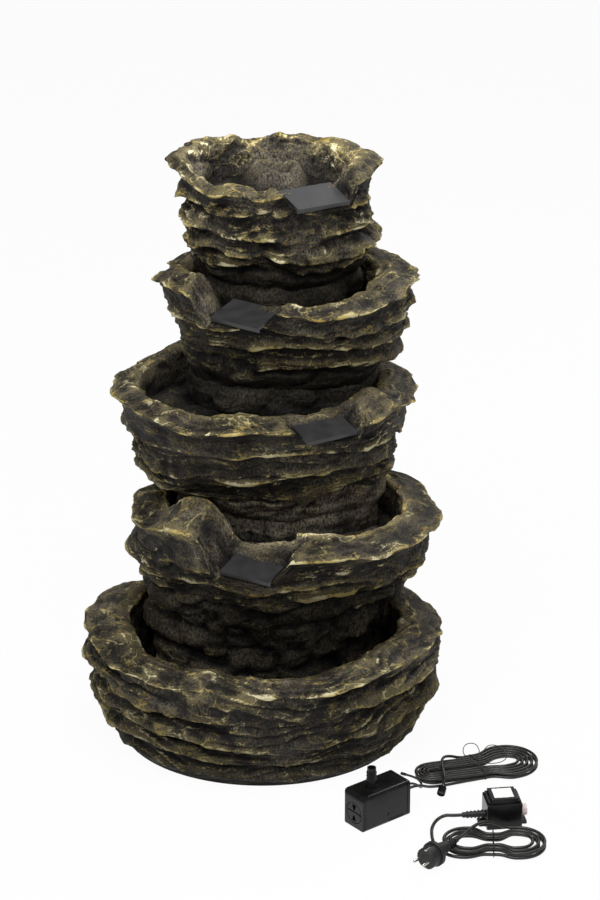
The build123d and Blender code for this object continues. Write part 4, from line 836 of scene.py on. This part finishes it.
finishes = [
    # Injection-moulded ABS: satin black with a spark-eroded grain, drawn at 1.2 mm so that it shows
    {"name": "moulded black ABS", "colours": ("#0c0c0d", "#161616"), "roughness": (0.2, 0.32),
     "grain": 1.2, "depth": 0.2, "sockets": {"Specular_IOR_Level": 0.3},
     "nodes": ("pump_casing", "pump_rear_cap", "regulator_dial", "hose_nozzle", "pump_motor_block", "volute_cover",
               "transformer_base", "transformer_case", "transformer_lid", "output_socket",
               "lead_connector", "connector_nut", "light_lead_cap", "mains_lead_tie")},
    # Resin from a smooth mould: dark grey and half matt, with a soft 3 mm unevenness
    {"name": "moulded grey resin", "colours": ("#252526", "#313132"), "roughness": (0.4, 0.52),
     "grain": 3.0, "depth": 0.4, "nodes": ("spout_lower", "spout_middle", "spout_upper", "spout_top")},
    # Moulded rubber: dull black that takes almost no highlight
    {"name": "moulded black rubber", "colours": ("#111111", "#1d1c1b"), "roughness": (0.5, 0.65),
     "grain": 1.6, "depth": 0.3,
     "nodes": ("hose_seal_lower", "hose_seal_middle", "hose_seal_upper", "hose_seal_top", "volute_seal",
               "pump_lead_gland", "light_lead_gland", "mains_gland", "plug_strain_relief", "plug_body")},
    # Extruded soft PVC: green-black with a smooth sheen
    {"name": "extruded green-black PVC hose", "colours": ("#181b18", "#262a26"), "roughness": (0.3, 0.4),
     "grain": 2.0, "depth": 0.2, "nodes": ("riser_hose",)},
    # Moulded acetal: milky white and waxy
    {"name": "moulded white acetal", "colours": ("#c9c7bf", "#dddbd4"), "roughness": (0.35, 0.5),
     "grain": 1.5, "depth": 0.2, "nodes": ("impeller",)},
    # Moulded polyethylene: pale, and lets some light through
    {"name": "moulded translucent polyethylene", "colours": ("#f0dcd8", "#f7ece9"), "roughness": (0.25, 0.4),
     "grain": 2.0, "depth": 0.2, "sockets": {"Transmission_Weight": 0.35}, "nodes": ("output_cap",)},
    # Polished alumina: off-white with a tight gloss
    {"name": "polished alumina ceramic", "colours": ("#e6e2d8", "#f2efe8"), "roughness": (0.15, 0.25),
     "grain": 2.0, "depth": 0.1, "nodes": ("shaft_bush_front", "shaft_bush_rear", "impeller_shaft")},
    # Nickel plate over brass: bright metal, a little warm
    {"name": "nickel-plated brass", "colours": ("#c9c6bd", "#e4e1d8"), "roughness": (0.18, 0.3),
     "grain": 0.8, "depth": 0.1, "sockets": {"Metallic": 1.0}, "nodes": ("plug_pins", "plug_earth_contacts")},
    # Stamped and stacked silicon steel: dull grey metal
    {"name": "laminated silicon steel", "colours": ("#6d6e72", "#8a8b90"), "roughness": (0.35, 0.5),
     "grain": 0.8, "depth": 0.1, "sockets": {"Metallic": 1.0}, "nodes": ("motor_stator", "transformer_core")},
    # Drawn copper under enamel: red-brown metal
    {"name": "enamelled copper wire", "colours": ("#7d3a1c", "#a8552c"), "roughness": (0.25, 0.4),
     "grain": 0.8, "depth": 0.1, "sockets": {"Metallic": 1.0}, "nodes": ("motor_coils", "transformer_winding")},
]
for finish in finishes:
    dress(finish["nodes"], plainFinish(finish))
print("finishes given:", len(finishes))

# Bare plate on the transformer's lid. Coated film: white and half matt, faintly mottled
film = plainFinish({"name": "white coated film", "colours": ("#e4e4e0", "#f2f2ee"), "roughness": (0.4, 0.55),
                    "grain": 2.0, "depth": 0.1})
plate = {"long": 0.033, "wide": 0.031, "low": 0.0551, "high": 0.0555}
corners = [placed(transformer, x * plate["long"] / 2, y * plate["wide"] / 2, z)
           for z in (plate["low"], plate["high"]) for x, y in ((-1, -1), (1, -1), (1, 1), (-1, 1))]
sides = [(0, 1, 5, 4), (1, 2, 6, 5), (2, 3, 7, 6), (3, 0, 4, 7), (3, 2, 1, 0), (4, 5, 6, 7)]
plateMesh = bpy.data.meshes.new("lidPlate")
plateMesh.from_pydata(corners, [], sides)
plateMesh.materials.append(film)
lidPlate = link("lidPlate", plateMesh)
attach(lidPlate, "fountain")

# The wire that ties the pump's hank: once round the waist, then two loose loops on top
tieRoute = [
    (0.004, 0.006, 0.0170), (0.0, 0.030, 0.0162), (0.0, 0.0388, 0.0135), (0.0, 0.0388, 0.0030),
    (0.0, 0.030, 0.0009), (0.0, -0.030, 0.0009), (0.0, -0.0388, 0.0030), (0.0, -0.0388, 0.0135),
    (0.0, -0.030, 0.0162), (0.0, -0.004, 0.0170), (-0.010, 0.004, 0.022), (-0.024, 0.014, 0.032),
    (-0.012, 0.030, 0.042), (0.010, 0.026, 0.040), (0.008, 0.006, 0.024), (0.001, 0.0, 0.0178),
    (0.012, 0.010, 0.028), (0.030, 0.024, 0.036), (0.052, 0.018, 0.030), (0.056, -0.004, 0.021),
    (0.040, -0.016, 0.0187), (0.018, -0.014, 0.0183), (0.006, -0.006, 0.0180),
]
tieWire = tube("tieWire", [placed(pumpHank, *point) for point in tieRoute], tie["wire"], sheath)
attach(tieWire, "fountain")
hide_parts("pump_lead_tie")
print("plate and tie made")
